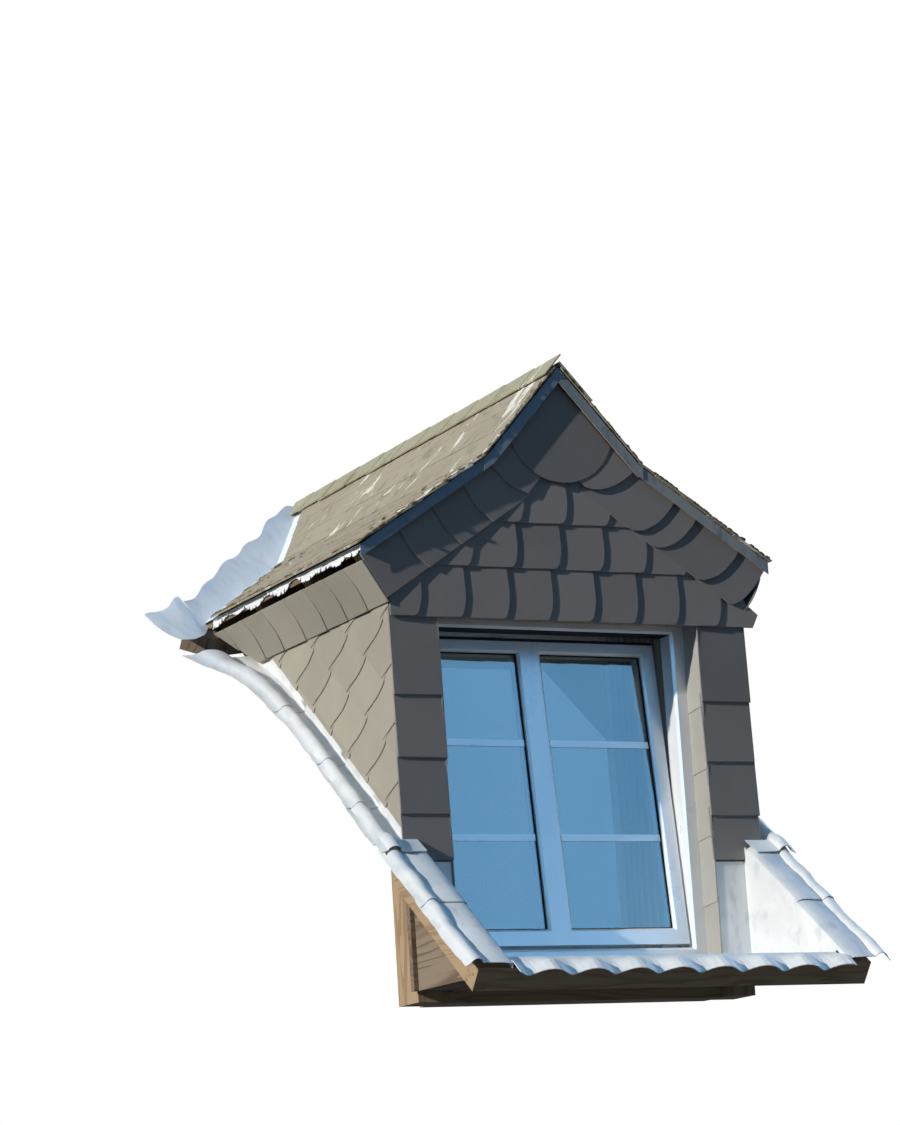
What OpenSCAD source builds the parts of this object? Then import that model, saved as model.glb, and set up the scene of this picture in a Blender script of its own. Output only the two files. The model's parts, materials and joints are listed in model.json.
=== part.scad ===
/* [Front wall] */
// Clear width of the window opening between its slated reveals
opening_w = 966; // [800:1:1200]
// Width of the slated pier on each side of the opening
pier_w = 174; // [165:1:300]
// How far the head of the opening lies below the eaves
head_drop = 166; // [120:1:260]
// Length of the lowest gable course that hangs below the head
course_drip = 15; // [5:1:40]
// Depth of the reveal, from the face of the slates to the window frame
reveal_d = 96; // [80:1:140]
// Thickness of the lining between a reveal and its corner post
reveal_lining_t = 40; // [20:1:45]
// Height of the first gable course
first_course = 172; // [120:1:200]
// Height of the other gable courses
gable_course = 153; // [120:1:180]
// How far the outer edge of the soffit slates drops below the eaves
soffit_drop = 4; // [2:1:20]
// How far the foot of the splayed soffit lies below the eaves
splay_drop = 104; // [70:1:150]

/* [Dormer roof] */
// How far the eaves stand out from the slates of a cheek
eaves_out = 106; // [70:1:250]
// Width of the flared part of the roof on each side
flare_w = 500; // [350:1:600]
// Height of the lower edge of the verge trim at the eaves, above the foot of the piers
eaves_h = 966; // [940:1:1100]
// Pitch of the upper, steep part
steep_pitch = 48; // [42:0.5:56]
// Pitch of the lower, flared part
flare_pitch = 33.5; // [26:0.5:38]
// How far the verge stands out in front of the wall slates
verge_out = 30; // [20:1:80]
// How far the verge trim hangs below the roof boards
trim_drop = 10; // [8:1:30]
// How far the verge trim folds back over the roof boards
verge_fold = 30; // [15:1:60]
// How far the roof slates stand out over the face of the verge trim
slate_over = 5; // [2:0.5:15]
// Length of one slate course up the slope
roof_course = 118; // [90:1:180]

/* [Main roof] */
// Pitch of the main roof that the dormer stands in
main_pitch = 38; // [34:0.5:45]
// Thickness of tiles and battens, from the deck to the mean tile surface
roof_build = 100; // [80:1:130]
// Height of the mean tile surface at the front wall, above the foot of the piers
tile_h = 45; // [20:1:80]
// Width of one tile roll, which the apron is dressed over
tile_roll = 150; // [120:1:220]
// Height of one tile roll
roll_h = 34; // [15:1:45]

/* [Covering] */
// Full thickness of the lapped slates at the butt of a course
slate_skin = 13; // [10:1:20]
// Thickness of a single slate
slate_t = 5; // [4:0.5:8]
// Thickness of the sheathing boards
board_t = 24; // [18:1:30]
// Thickness of the sheet metal, drawn as stiff dressed sheet
sheet_t = 3; // [2:0.5:4]

/* [Timber] */
// Depth of a corner post, of the head and of the studs' front wall
post_d = 140; // [120:1:180]
// Thickness of the cheek studs, plates and soles, across the cheek
stud_d = 58; // [44:1:60]
// Width of a cheek stud along the cheek
stud_w = 60; // [40:1:80]
// Height of the head beam and of the top plates
plate_h = 90; // [60:1:110]
// Height of the sill beam under the window frame
sill_h = 94; // [60:1:120]
// Depth of the sill beam
sill_d = 120; // [90:1:160]
// Packing gap between the sill beam and the frame
sill_gap = 6; // [2:1:15]
// Thickness of the sole plates, square to the main roof
sole_t = 50; // [30:1:60]
// Thickness of a rafter along the ridge
rafter_t = 50; // [40:1:80]
// Depth of a rafter, square to its slope
rafter_d = 76; // [60:1:100]
// Height of a ceiling joist
joist_h = 60; // [45:1:90]
// Spacing of the rafters, studs and joists
rafter_gap = 400; // [300:1:500]
// Thickness of the inner lining boards
lining_t = 15; // [12:1:18]
// Depth of the inner window board
inner_sill_d = 150; // [100:1:250]
// Thickness of the inner window board
inner_sill_t = 22; // [18:1:30]

/* [Window] */
// Face width of the window frame
frame_face = 67; // [50:1:80]
// Depth of the window frame
frame_d = 70; // [60:1:90]
// Height of the frame that shows under the head of the opening
frame_show = 25; // [10:1:40]
// How far the frame runs on behind the left reveal
frame_lap_left = 120; // [15:1:122]
// How far the frame runs on behind the right reveal
frame_lap_right = 20; // [15:1:122]
// Height of the foot of the frame above the shelf of the recess
frame_up = 39; // [20:1:80]
// Face width of the sash stiles
stile_w = 50; // [40:1:70]
// Face width of the top rail of the sash
top_rail = 49; // [40:1:70]
// Face width of the bottom rail of the sash
bottom_rail = 54; // [40:1:80]
// Face width of the middle mullion of the sash
mullion_w = 86; // [60:1:110]
// Gap between the sash and the frame
sash_gap = 8; // [6:0.5:12]
// Thickness of the glass unit
glass_t = 24; // [16:1:32]
// Angle at which the sash stands tilted into the room
tilt = 5.7; // [3:0.1:7]

/* [Recess] */
// How far each side of the recess stands in from the slates of its cheek
recess_in = 57; // [42:1:100]
// Level of the shelf below the foot of the piers
shelf_drop = 384; // [300:1:440]
// Width of a recess bearer across the roof
bearer_w = 72; // [50:1:90]
// Width of the front bearer up the slope
front_bearer_w = 60; // [45:1:90]

/* [Flashings] */
// How far the flashings beside the cheeks reach out over the tiles
flash_out = 108; // [80:1:200]
// How far the middle of their roll lies from the slates of the cheek
roll_out = 62; // [50:1:75]
// Outside radius of the roll in the flashings
lead_roll = 22; // [12:1:26]
// Height of their upstand behind the cheek slates, above the tiles
upstand_h = 80; // [70:1:150]
// Clearance between the tiles and the lowest edge of the cheek slates
slates_up = 60; // [30:1:65]
// Length of the apron below the lip of the recess
apron_len = 112; // [80:1:200]

/* [Hidden] */

// Half of a very large cutting block
far = 6000;
// Length of the roof before the main roof cuts it off
reach = 3000;
// Clearance left between pieces that are seated on each other
fit = 0.3;

half_open = opening_w / 2;
half_wall = half_open + pier_w;
half_recess = half_wall - recess_in;
shelf_z = -shelf_drop;
eaves_x = half_wall + eaves_out;
break_x = eaves_x - flare_w;
break_z = eaves_h + (eaves_x - break_x) * tan(flare_pitch);
apex_z = break_z + break_x * tan(steep_pitch);

// Layers of a wall, counted in from the slate face
board_out = half_wall - slate_skin;
board_in = board_out - board_t;
stud_in = board_in - stud_d;
post_in = half_open + slate_t + 1 + reveal_lining_t;
lining_in = stud_in - lining_t;
front_stud_y = slate_skin + board_t;
front_back_y = front_stud_y + post_d;
opening_head = eaves_h - head_drop;
course_z = opening_head - course_drip;

// Deck of the main roof: its height at the front wall face
deck_z0 = tile_h - roof_build / cos(main_pitch);
function deck_z(y, n = 0) = deck_z0 + y * tan(main_pitch) + n / cos(main_pitch);
function deck_y(z, n = 0) = (z - deck_z0 - n / cos(main_pitch)) / tan(main_pitch);

// The front bearer and, with it, the origin under its middle
bearer_h = roof_build - 20;
lip_z = -shelf_drop + 20;
lip_y = deck_y(lip_z, bearer_h);
bearer_top_s = (lip_y + bearer_h * sin(main_pitch)) / cos(main_pitch);
bearer_s = bearer_top_s - front_bearer_w / 2;
origin_y = bearer_s * cos(main_pitch);
origin_z = deck_z(origin_y);

// Window
frame_y = reveal_d;
frame_half = half_open + (frame_lap_left + frame_lap_right) / 2;
window_x = (frame_lap_right - frame_lap_left) / 2;
frame_top = opening_head - frame_show + frame_face;
frame_foot = shelf_z + frame_up;
frame_h = frame_top - frame_foot;
light_half = frame_half - frame_face;
light_top = frame_top - frame_face;
light_foot = frame_foot + frame_face;
sash_half = light_half - sash_gap;
sash_h = light_top - light_foot - 2 * sash_gap;
sash_set = 12;
sash_d = 70;
flange = 14;
flange_t = 11;
pane_w = sash_half - stile_w - mullion_w / 2;
pane_h = sash_h - top_rail - bottom_rail;
groove = 12;

// Valley and flashing levels above the deck
valley_board_n = 74;
valley_n = valley_board_n + fit;
slate_cut_n = valley_n + sheet_t + fit;
rafter_ys = [for (i = [0 : 4]) front_stud_y + 10 + i * rafter_gap];
plate_top = opening_head + frame_face - frame_show + 10 + plate_h;
plate_foot = plate_top - plate_h;
ceiling_z = plate_foot + 8;
splay_foot = eaves_h - splay_drop;
splay_x = eaves_x - 18;
splay_z = eaves_h - soffit_drop;

// Roof line: lower edge of the verge trim moved out by d, square to each slope
function steep_z(x, d = 0) = apex_z - x * tan(steep_pitch) + d / cos(steep_pitch);
function flare_z(x, d = 0) = break_z - (x - break_x) * tan(flare_pitch) + d / cos(flare_pitch);
function break_at(d) = break_x
    + d * (1 / cos(steep_pitch) - 1 / cos(flare_pitch)) / (tan(steep_pitch) - tan(flare_pitch));
function roof_z(x, d = 0) = x < break_at(d) ? steep_z(x, d) : flare_z(x, d);
function roof_line(x_end, d) = [
    [x_end, flare_z(x_end, d)], [break_at(d), steep_z(break_at(d), d)], [0, steep_z(0, d)]];
boards_d = trim_drop;
slates_d = boards_d + board_t;
cover_d = slates_d + slate_skin;
function roof_band(x_end, d0, d1) = concat(roof_line(x_end, d0),
    [for (i = [2 : -1 : 0]) roof_line(x_end, d1)[i]]);
// Front faces of the verge trim's two laps and of the slates that stand out over them
trim_y = -verge_out - sheet_t;
trim_lap_y = trim_y - sheet_t - fit;
slates_y = trim_lap_y - slate_over;

// Points of a sheet of even thickness t that follows a path
function unit(v) = v / norm(v);
function turn(v) = [-v[1], v[0]];
function path_dir(p, i) = unit(
    (i == 0 ? p[1] - p[0] : unit(p[i] - p[i - 1]))
    + (i == len(p) - 1 ? p[i] - p[i - 1] : i == 0 ? p[1] - p[0] : unit(p[i + 1] - p[i])));
function path_side(p, i, t) = p[i] + turn(path_dir(p, i)) * t;
function band(p, t) = concat(p, [for (i = [len(p) - 1 : -1 : 0]) path_side(p, i, t)]);
function arc(cx, cy, r, a0, a1, n) = [for (i = [0 : n])
    [cx + r * cos(a0 + (a1 - a0) * i / n), cy + r * sin(a0 + (a1 - a0) * i / n)]];

// From the wall frame, zero at the foot of the piers, to the part's own frame
module place() { translate([0, -origin_y, -origin_z]) children(); }
module right_side() { children(); }
module left_side() { mirror([1, 0, 0]) children(); }
module both() { children(); mirror([1, 0, 0]) children(); }
module side_panel(x0, t, pts) { translate([x0, 0, 0]) rotate([90, 0, 90]) linear_extrude(t) polygon(pts); }
module front_panel(y0, t, pts) { translate([0, y0 + t, 0]) rotate([90, 0, 0]) linear_extrude(t) polygon(pts); }
// Local axes of the main roof: x across, y up the slope, z square to it from the deck
module on_deck() { translate([0, 0, deck_z0]) rotate([main_pitch, 0, 0]) children(); }
module under_deck(n) { on_deck() translate([-far, -far, n - 2 * far]) cube([2 * far, 2 * far, 2 * far]); }
module above_deck(n) { difference() { children(); under_deck(n); } }

module front_bearer() color("burlywood") place() on_deck()
    translate([-(half_recess + sheet_t + board_t + bearer_w), bearer_s - front_bearer_w / 2, 0])
        cube([2 * (half_recess + sheet_t + board_t + bearer_w), front_bearer_w, bearer_h]);

recess_x = half_recess + sheet_t + board_t + 1;
bearer_end_y = 3;
module recess_bearers() color("burlywood") place() both() difference() {
    on_deck() translate([recess_x, bearer_top_s + fit, 0])
        cube([bearer_w - 1, front_back_y / cos(main_pitch) - bearer_top_s, roof_build - 6]);
    translate([0, bearer_end_y, -far]) cube([far, far, 2 * far]);
}

sole_end = valley_pt(eaves_x, boards_d, valley_board_n)[1] - 22;
module sole_plates() color("burlywood") place() both() difference() {
    on_deck() translate([stud_in, 0, 0]) cube([stud_d, sole_end, sole_t]);
    translate([0, -far, -far]) cube([far, far + front_back_y + fit, 2 * far]);
}

module corner_posts() color("burlywood") place() difference() {
    both() translate([post_in, front_stud_y, frame_foot - sill_h - sill_gap])
        cube([board_in - post_in, post_d, plate_foot - fit - (frame_foot - sill_h - sill_gap)]);
    translate([window_x - frame_half - 2, frame_y - fit, frame_foot - sill_gap])
        cube([2 * (frame_half + 2), far, far]);
}

module sill_beam() color("burlywood") place()
    translate([-(post_in - fit), frame_y, frame_foot - sill_gap - sill_h])
        cube([2 * (post_in - fit), sill_d, sill_h]);

module head_beam() color("burlywood") place()
    translate([-board_in, front_stud_y, plate_foot]) cube([2 * board_in, post_d, plate_h]);

module top_plates() color("burlywood") place() both() above_deck(sole_t + fit)
    translate([stud_in, front_back_y + fit, plate_foot]) cube([stud_d, reach, plate_h]);

module cheek_studs() both() above_deck(sole_t + fit)
    for (i = [1 : 2]) translate([stud_in, rafter_ys[i], -1000])
        cube([stud_d, stud_w, 1000 + plate_foot - fit]);

module gable_studs() {
    translate([-stud_w / 2, front_stud_y, plate_top + fit])
        cube([stud_w, stud_w, steep_z(0, boards_d) - 150 - plate_top - 2 * fit]);
    both() intersection() {
        translate([break_x - stud_w / 2 + 60, front_stud_y, plate_top + fit])
            cube([stud_w, 8, far]);
        front_panel(front_stud_y, 8, concat([[0, 0], [eaves_x, 0]], roof_line(eaves_x, boards_d - rafter_d)));
    }
}

module wall_studs() color("burlywood") place() {
    cheek_studs();
    gable_studs();
}

ridge_t = 30;
ridge_h = 150;
module ridge_board() color("burlywood") place() above_deck(valley_board_n + fit)
    translate([-ridge_t / 2, front_stud_y, steep_z(0, boards_d) - ridge_h])
        cube([ridge_t, reach, ridge_h - ridge_t / 2 * tan(steep_pitch) - 1]);

// The tail of a rafter widens from the plate to the soffit
tail_rise = 70;
tail_back = 42;
module rafter(y) front_panel(y, rafter_t, concat(
    [[ridge_t / 2 + fit, steep_z(ridge_t / 2, boards_d - rafter_d)],
        [break_at(boards_d - rafter_d), steep_z(break_at(boards_d - rafter_d), boards_d - rafter_d)],
        [stud_in, plate_top + fit], [board_in, plate_top + fit],
        [board_in, splay_foot + tail_rise], [splay_x - tail_back, splay_z - 2]],
    [[splay_x - 12, flare_z(splay_x - 12, boards_d - fit)],
        [break_at(boards_d - fit), steep_z(break_at(boards_d - fit), boards_d - fit)],
        [ridge_t / 2 + fit, steep_z(ridge_t / 2 + fit, boards_d - fit)]]));
module rafters() color("burlywood") place() both() above_deck(slate_cut_n)
    for (y = rafter_ys) rafter(y);

module ceiling_joists() color("burlywood") place() above_deck(0)
    for (i = [1 : 2]) translate([-(stud_in - fit), rafter_ys[i], ceiling_z + lining_t + fit])
        cube([2 * (stud_in - fit), stud_w, joist_h]);

// Line on the main roof where the underside of the dormer's boards comes down
function valley_pt(x, d, n) = [x, deck_y(roof_z(x, d), n) / cos(main_pitch) + n * tan(main_pitch)];
function valley_line(d, n) = [
    valley_pt(eaves_x, d, n), valley_pt(break_at(d), d, n), valley_pt(0, d, n)];
function valley_out(d, n, w) = let (v = valley_line(d, n)) [
    v[0] + [w, 0], v[1] + [w * 0.8, w * 0.6], v[2] + [0, w * 1.2]];
module valley_boards() color("burlywood") place() both() on_deck() difference() {
    linear_extrude(valley_board_n) polygon(concat(valley_out(boards_d, valley_board_n, 90),
        [[0.5, valley_pt(0, boards_d, valley_board_n)[1] - 150],
            [break_x - 60, valley_pt(break_x, boards_d, valley_board_n)[1] - 80],
            [board_in + 2, valley_pt(eaves_x, boards_d, valley_board_n)[1] - 20],
            [eaves_x, valley_pt(eaves_x, boards_d, valley_board_n)[1] - 60]]));
    translate([0, 0, -1]) linear_extrude(51) polygon([for (p = valley_out(boards_d, valley_board_n, 70)) p,
        [-1, valley_pt(0, boards_d, valley_board_n)[1] - 300], [-1, far]]);
}

// Outline of a cheek in side view, from the deck level n up to z_top
function cheek_pts(y0, z_top, n) = [
    [y0, deck_z(y0, n)], [deck_y(z_top, n), z_top], [y0, z_top]];
module cheek_boards() color("tan") place() both() {
    side_panel(board_in, board_t, cheek_pts(front_stud_y + fit, splay_foot + 40, sole_t / 2));
    above_deck(valley_board_n + fit) translate([0, reach, 0]) rotate([90, 0, 0])
        linear_extrude(reach - front_stud_y - fit) polygon([
            [board_in, splay_foot + 40], [board_out, splay_foot + 6], [splay_x - 10, splay_z - 2],
            [splay_x - 40, splay_z - 2], [board_in, splay_foot + 50]]);
}

module front_boards() color("tan") place() {
    rise = roof_line(splay_x - 20, boards_d - fit);
    front_panel(slate_skin, board_t, concat(
        [[-board_out, opening_head], [board_out, opening_head], [board_out, splay_foot + 6],
            [splay_x - 10, splay_z - 2]],
        rise, [for (i = [1, 0]) [-rise[i][0], rise[i][1]]],
        [[-(splay_x - 10), splay_z - 2], [-board_out, splay_foot + 6]]));
    both() translate([half_open + slate_t + 1, slate_skin, shelf_z - sheet_t - board_t])
        cube([board_out - half_open - slate_t - 1, board_t, opening_head - fit - shelf_z + sheet_t + board_t]);
}

module reveal_linings() color("tan") place() {
    both() translate([half_open + slate_t + 1, front_stud_y + fit, -shelf_drop - sheet_t])
        cube([post_in - half_open - slate_t - 1 - fit, frame_y - front_stud_y - 2 * fit,
            opening_head + shelf_drop + sheet_t - fit]);
    translate([-(post_in - fit), front_stud_y + fit, opening_head])
        cube([2 * (post_in - fit), frame_y - front_stud_y - 2 * fit, plate_foot - opening_head - fit]);
}

// Solid between two levels over the roof line, from y0 back to y1
module roof_layer(x_end, d0, d1, y0, y1) translate([0, y1, 0]) rotate([90, 0, 0])
    linear_extrude(y1 - y0) polygon(roof_band(x_end, d0, d1));
// The boards are rebated along the verge for the fold of the trim
boards_x = eaves_x - 12;
module roof_boards() above_deck(slate_cut_n) {
    roof_layer(boards_x, boards_d, slates_d, -verge_out + verge_fold + fit, reach);
    roof_layer(boards_x, boards_d, slates_d - sheet_t - fit, -verge_out + fit, reach);
}
module roof_boards_left() color("tan") place() left_side() roof_boards();
module roof_boards_right() color("tan") place() right_side() roof_boards();

module recess_boards() color("tan") place() {
    difference() {
        translate([-(half_recess + sheet_t), -far / 4, shelf_z - sheet_t - board_t])
            cube([2 * (half_recess + sheet_t), far / 4 + slate_skin - fit, board_t]);
        on_deck() translate([-far / 2, bearer_top_s + fit - far, -far / 2]) cube([far, far, far]);
    }
    translate([-(half_open), slate_skin + fit, shelf_z - sheet_t - board_t])
        cube([2 * half_open, frame_y - slate_skin - fit, board_t]);
    both() difference() {
        translate([half_recess + sheet_t + fit, -far / 4, shelf_z - sheet_t - board_t])
            cube([board_t, far / 4 + slate_skin - fit, far / 2]);
        on_deck() translate([-far / 2, bearer_top_s + fit - far, -far / 2]) cube([far, far, far]);
        on_deck() translate([-far / 2, -far / 2, roof_build - 4]) cube([far, far, far]);
        translate([0, bearer_end_y, -3]) cube([far, far, far]);
    }
}

module inner_linings() color("whitesmoke") place() {
    both() side_panel(lining_in, lining_t - fit, [
        [front_back_y + 14, deck_z(front_back_y + 14)], [deck_y(ceiling_z), ceiling_z],
        [front_back_y + 14, ceiling_z]]);
    above_deck(0) translate([-(stud_in - fit), front_back_y + fit, ceiling_z + fit])
        cube([2 * (stud_in - fit), reach, lining_t - fit]);
}

module inner_sill() color("white") place()
    translate([-(post_in - 2), frame_y + frame_d + fit, frame_foot - sill_gap + fit])
        cube([2 * (post_in - 2), inner_sill_d, inner_sill_t]);

// Stepped profile of lapped courses: h is the butt height, low the height under the next butt
function courses(n, step, h, low) = [for (i = [0 : n - 1]) each [[i * step, h], [(i + 1) * step, low]]];

field_n = roof_build + slates_up;
module cheek_slates() {
    n = 9;
    step = (splay_foot + 8 - deck_z(0)) / n;
    back = board_out + sheet_t + 2 * fit;
    top = splay_foot + 5.5;
    prof = [for (p = courses(n, step, slate_skin, slate_skin - slate_t)) [board_out + p[1], p[0] + deck_z(0)]];
    intersection() {
        translate([0, far / 2, 0]) rotate([90, 0, 0]) linear_extrude(far)
            polygon(concat([[back, deck_z(0)]], prof, [[back, splay_foot + 8]]));
        side_panel(board_out, 100, [[slate_skin + fit, deck_z(slate_skin, field_n)],
            [deck_y(top, field_n), top], [slate_skin + fit, top]]);
    }
    above_deck(slate_cut_n) translate([0, reach, 0]) rotate([90, 0, 0])
        linear_extrude(reach - slate_skin) polygon([
            [board_out + 2 * fit, splay_foot + 5.7], [half_wall - 2, splay_foot - 8],
            [half_wall + 6, splay_foot - 4], [splay_x + 3, splay_z], [splay_x - 9.4, splay_z - 2.2]]);
}
module cheek_slates_left() color("dimgray") place() left_side() cheek_slates();
module cheek_slates_right() color("dimgray") place() right_side() cheek_slates();

gable_top_d = boards_d - 3;
gable_joints = [course_z, for (i = [0 : 5]) course_z + first_course + i * gable_course];
// The right end of the lowest course runs out past the corner as a drip
module gable_outline(y0, t) front_panel(y0, t, concat(
    [[-half_wall, course_z], [half_wall + 42, course_z], [half_wall + 66, splay_foot - 34],
        [half_wall + 18, splay_foot - 5], [splay_x, splay_z]],
    roof_line(splay_x - 2, gable_top_d),
    [for (i = [1 : 2]) let (p = roof_line(splay_x - 2, gable_top_d)[2 - i]) [-p[0], p[1]]],
    [[-splay_x, splay_z], [-half_wall, splay_foot]]));
module gable_slates() color("dimgray") place() intersection() {
    gable_outline(-1, slate_skin + 1 - fit);
    translate([-far / 2, 0, 0]) rotate([90, 0, 90]) linear_extrude(far) polygon(concat(
        [[slate_skin, course_z]],
        [for (i = [0 : 5]) each [[0, gable_joints[i]], [slate_t, gable_joints[i + 1]]]],
        [[slate_skin, gable_joints[6]]]));
}

verge_band = 165;
module verge_slates() color("dimgray") place() {
    both() front_panel(-slate_t - 1, slate_t + 0.7, concat(
        [[half_wall + 12, splay_foot + 2], [splay_x, splay_z]],
        [for (p = roof_line(splay_x - 2, gable_top_d)) [max(p[0], 0.2), p[1]]],
        [for (i = [2 : -1 : 1]) let (p = roof_line(splay_x, gable_top_d - verge_band)[i]) [max(p[0], 0.2), p[1]]],
        [[half_wall - 60, flare_z(half_wall - 60, gable_top_d - verge_band)]]));
    translate([0, -slate_t - 1 - fit, apex_z - 244]) rotate([90, 0, 0]) intersection() {
        linear_extrude(slate_t) circle(r = 130, $fn = 64);
        linear_extrude(slate_t) polygon([[-200, -200], [200, -200], [200, 244 - 200 * tan(steep_pitch)],
            [0, 244], [-200, 244 - 200 * tan(steep_pitch)]]);
    }
}

pier_joints = [0, 146, 327, 530, course_z + 30];
module pier_slates() color("dimgray") place() both() difference() {
    translate([half_open, 0, 0]) rotate([90, 0, 90]) linear_extrude(half_wall - half_open) polygon(concat(
        [[slate_skin - fit, 0]],
        [for (i = [0 : 3]) each [[4, pier_joints[i]], [4 + slate_t, pier_joints[i + 1]]]],
        [[slate_skin - fit, pier_joints[4]]]));
    translate([-far / 2, -far / 2, course_z - fit]) cube(far);
    intersection() {
        under_deck(roof_build + 8);
        translate([half_recess - 1, -far / 2, -far / 2]) cube(far);
    }
}

module reveal_slates() color("dimgray") place() both()
    translate([half_open, slate_skin + fit, shelf_z + 40])
        cube([slate_t, frame_y - slate_skin - 2 * fit, opening_head - shelf_z - 40 - fit]);

function slope_pts(x0, z0, pitch, pts) = [for (p = pts)
    [x0 - p[0] * cos(pitch) + p[1] * sin(pitch), z0 + p[0] * sin(pitch) + p[1] * cos(pitch)]];
flare_len = (eaves_x - break_at(slates_d)) / cos(flare_pitch);
steep_len = break_at(slates_d) / cos(steep_pitch);
flare_n = max(2, round(flare_len / roof_course));
steep_n = max(2, round(steep_len / roof_course));
module roof_slates() above_deck(slate_cut_n) translate([0, reach, 0]) rotate([90, 0, 0])
    linear_extrude(reach - slates_y) {
        polygon(concat([[break_at(slates_d + fit), flare_z(break_at(slates_d + fit), slates_d + fit)],
            [eaves_x, flare_z(eaves_x, slates_d + fit)]],
            slope_pts(eaves_x, flare_z(eaves_x, slates_d), flare_pitch,
                courses(flare_n, flare_len / flare_n, slate_skin, slate_skin - slate_t))));
        polygon(concat([[0.3, steep_z(0.3, slates_d + fit)],
            [break_at(slates_d + fit), steep_z(break_at(slates_d + fit), slates_d + fit)]],
            slope_pts(break_at(slates_d), steep_z(break_at(slates_d), slates_d), steep_pitch,
                concat([[-6, slate_skin - slate_t]], courses(steep_n, (steep_len - 10) / steep_n,
                    slate_skin, slate_skin - slate_t)))));
    }
module roof_slates_left() color("rosybrown") place() left_side() roof_slates();
module roof_slates_right() color("rosybrown") place() right_side() roof_slates();

ridge_side = 115;
module ridge_slates() color("rosybrown") place() above_deck(slate_cut_n)
    translate([0, reach, 0]) rotate([90, 0, 0]) linear_extrude(reach - slates_y) {
        d0 = cover_d + fit;
        d1 = d0 + 2 * slate_t;
        polygon([[0.2, steep_z(0.2, d0)], [ridge_side, steep_z(ridge_side, d0)],
            [ridge_side, steep_z(ridge_side, d1)], [0.2, steep_z(0.2, d1)]]);
        polygon([[0, steep_z(0, d0)], [-ridge_side, steep_z(ridge_side, d0)],
            [-ridge_side, steep_z(ridge_side, d1)], [18, steep_z(-18, d1)], [18, steep_z(-18, d1) - 6]]);
    }

// The lower trim is a folded strip under the slates, and the upper one laps over it past the break
trim_lap = 36;
module verge_trim_lower() difference() {
    union() {
        roof_layer(eaves_x, 0, slates_d, trim_y, -verge_out);
        roof_layer(boards_x, slates_d - sheet_t, slates_d, -verge_out - 1, -verge_out + verge_fold);
    }
    translate([-far, -far, -far]) cube([far + break_at(0) + 2, 2 * far, 2 * far]);
    translate([-far, -verge_out, -far]) cube([far + break_at(0) + trim_lap + 2, far, 2 * far]);
}
module verge_trim_upper() intersection() {
    union() {
        roof_layer(eaves_x, 0, slates_d, trim_lap_y, trim_y - fit);
        roof_layer(eaves_x, slates_d - sheet_t, slates_d, -verge_out, -verge_out + verge_fold);
        intersection() {
            roof_layer(eaves_x, slates_d - sheet_t, slates_d, trim_lap_y, -verge_out + 1);
            translate([0, -far, -far]) cube([break_at(0) + 1, 2 * far, 2 * far]);
        }
    }
    translate([0.3, -far, -far]) cube([break_at(0) + trim_lap - 0.3, 2 * far, 2 * far]);
}
module verge_trim_left() color("slategray") place() left_side() { verge_trim_lower(); verge_trim_upper(); }
module verge_trim_right() color("slategray") place() right_side() { verge_trim_lower(); verge_trim_upper(); }

module eaves_strips() color("silver") place() both() above_deck(slate_cut_n)
    translate([0, reach, 0]) rotate([90, 0, 0]) linear_extrude(reach + verge_out - fit) polygon(
        let (x = boards_x + fit, z = flare_z(boards_x, slates_d)) [
            [x, z - 2], [x, z - 34], [x + 8, z - 38], [x + 10, z - 36], [x + 2, z - 31], [x + 2, z - 2]]);

module valley() on_deck() {
    v = valley_line(slates_d, valley_n);
    o = valley_out(slates_d, valley_n, 120);
    tongue_y = v[0][1] - 60;
    translate([0, 0, valley_n]) linear_extrude(sheet_t) polygon(concat(
        [[0.4, v[2][1] - 60], [v[1][0] - 30, v[1][1] - 50], [v[0][0] - 20, v[0][1] - 30],
            [v[0][0] - 10, tongue_y - 60]],
        arc(v[0][0] + 110, tongue_y + 20, 120, 250, 360, 8),
        [o[0] + [60, 60], o[1], [0.4, o[2][1]]]));
}
module valley_left() color("lightsteelblue") place() left_side() valley();
module valley_right() color("lightsteelblue") place() right_side() valley();

flash_n = 4;
module cheek_flashing() {
    s0 = -60;
    s1 = deck_y(splay_foot, roof_build) / cos(main_pitch);
    step = (s1 - s0) / flash_n;
    prof = band(concat([[board_out + fit + sheet_t, roof_build + upstand_h]],
        arc(board_out + fit + sheet_t + 12, roof_build + 12, 12, 180, 270, 3),
        arc(half_wall + roll_out, roof_build + 2, lead_roll, 200, 20, 8),
        [[half_wall + flash_out, roof_build - 4]]), -sheet_t);
    difference() {
        on_deck() for (i = [0 : flash_n - 1])
            translate([0, s0 + i * step, 4]) rotate([-0.65, 0, 0]) rotate([90, 0, 0])
                translate([0, 0, -step - 50]) linear_extrude(step + 50) polygon(prof);
        translate([-far, -far - 2, -far]) cube([2 * far, far, 2 * far]);
        translate([-far, -far + slate_skin + fit, -far]) cube([far + half_wall + 0.5, far, 2 * far]);
        front_panel(-far / 2, far, [[0, splay_foot - 9], [half_wall + 6, splay_foot - 9],
            [splay_x + 4, splay_z - 4], [splay_x + 4, far], [0, far]]);
    }
}
module cheek_flashing_left() color("lightsteelblue") place() left_side() cheek_flashing();
module cheek_flashing_right() color("lightsteelblue") place() right_side() cheek_flashing();

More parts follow.
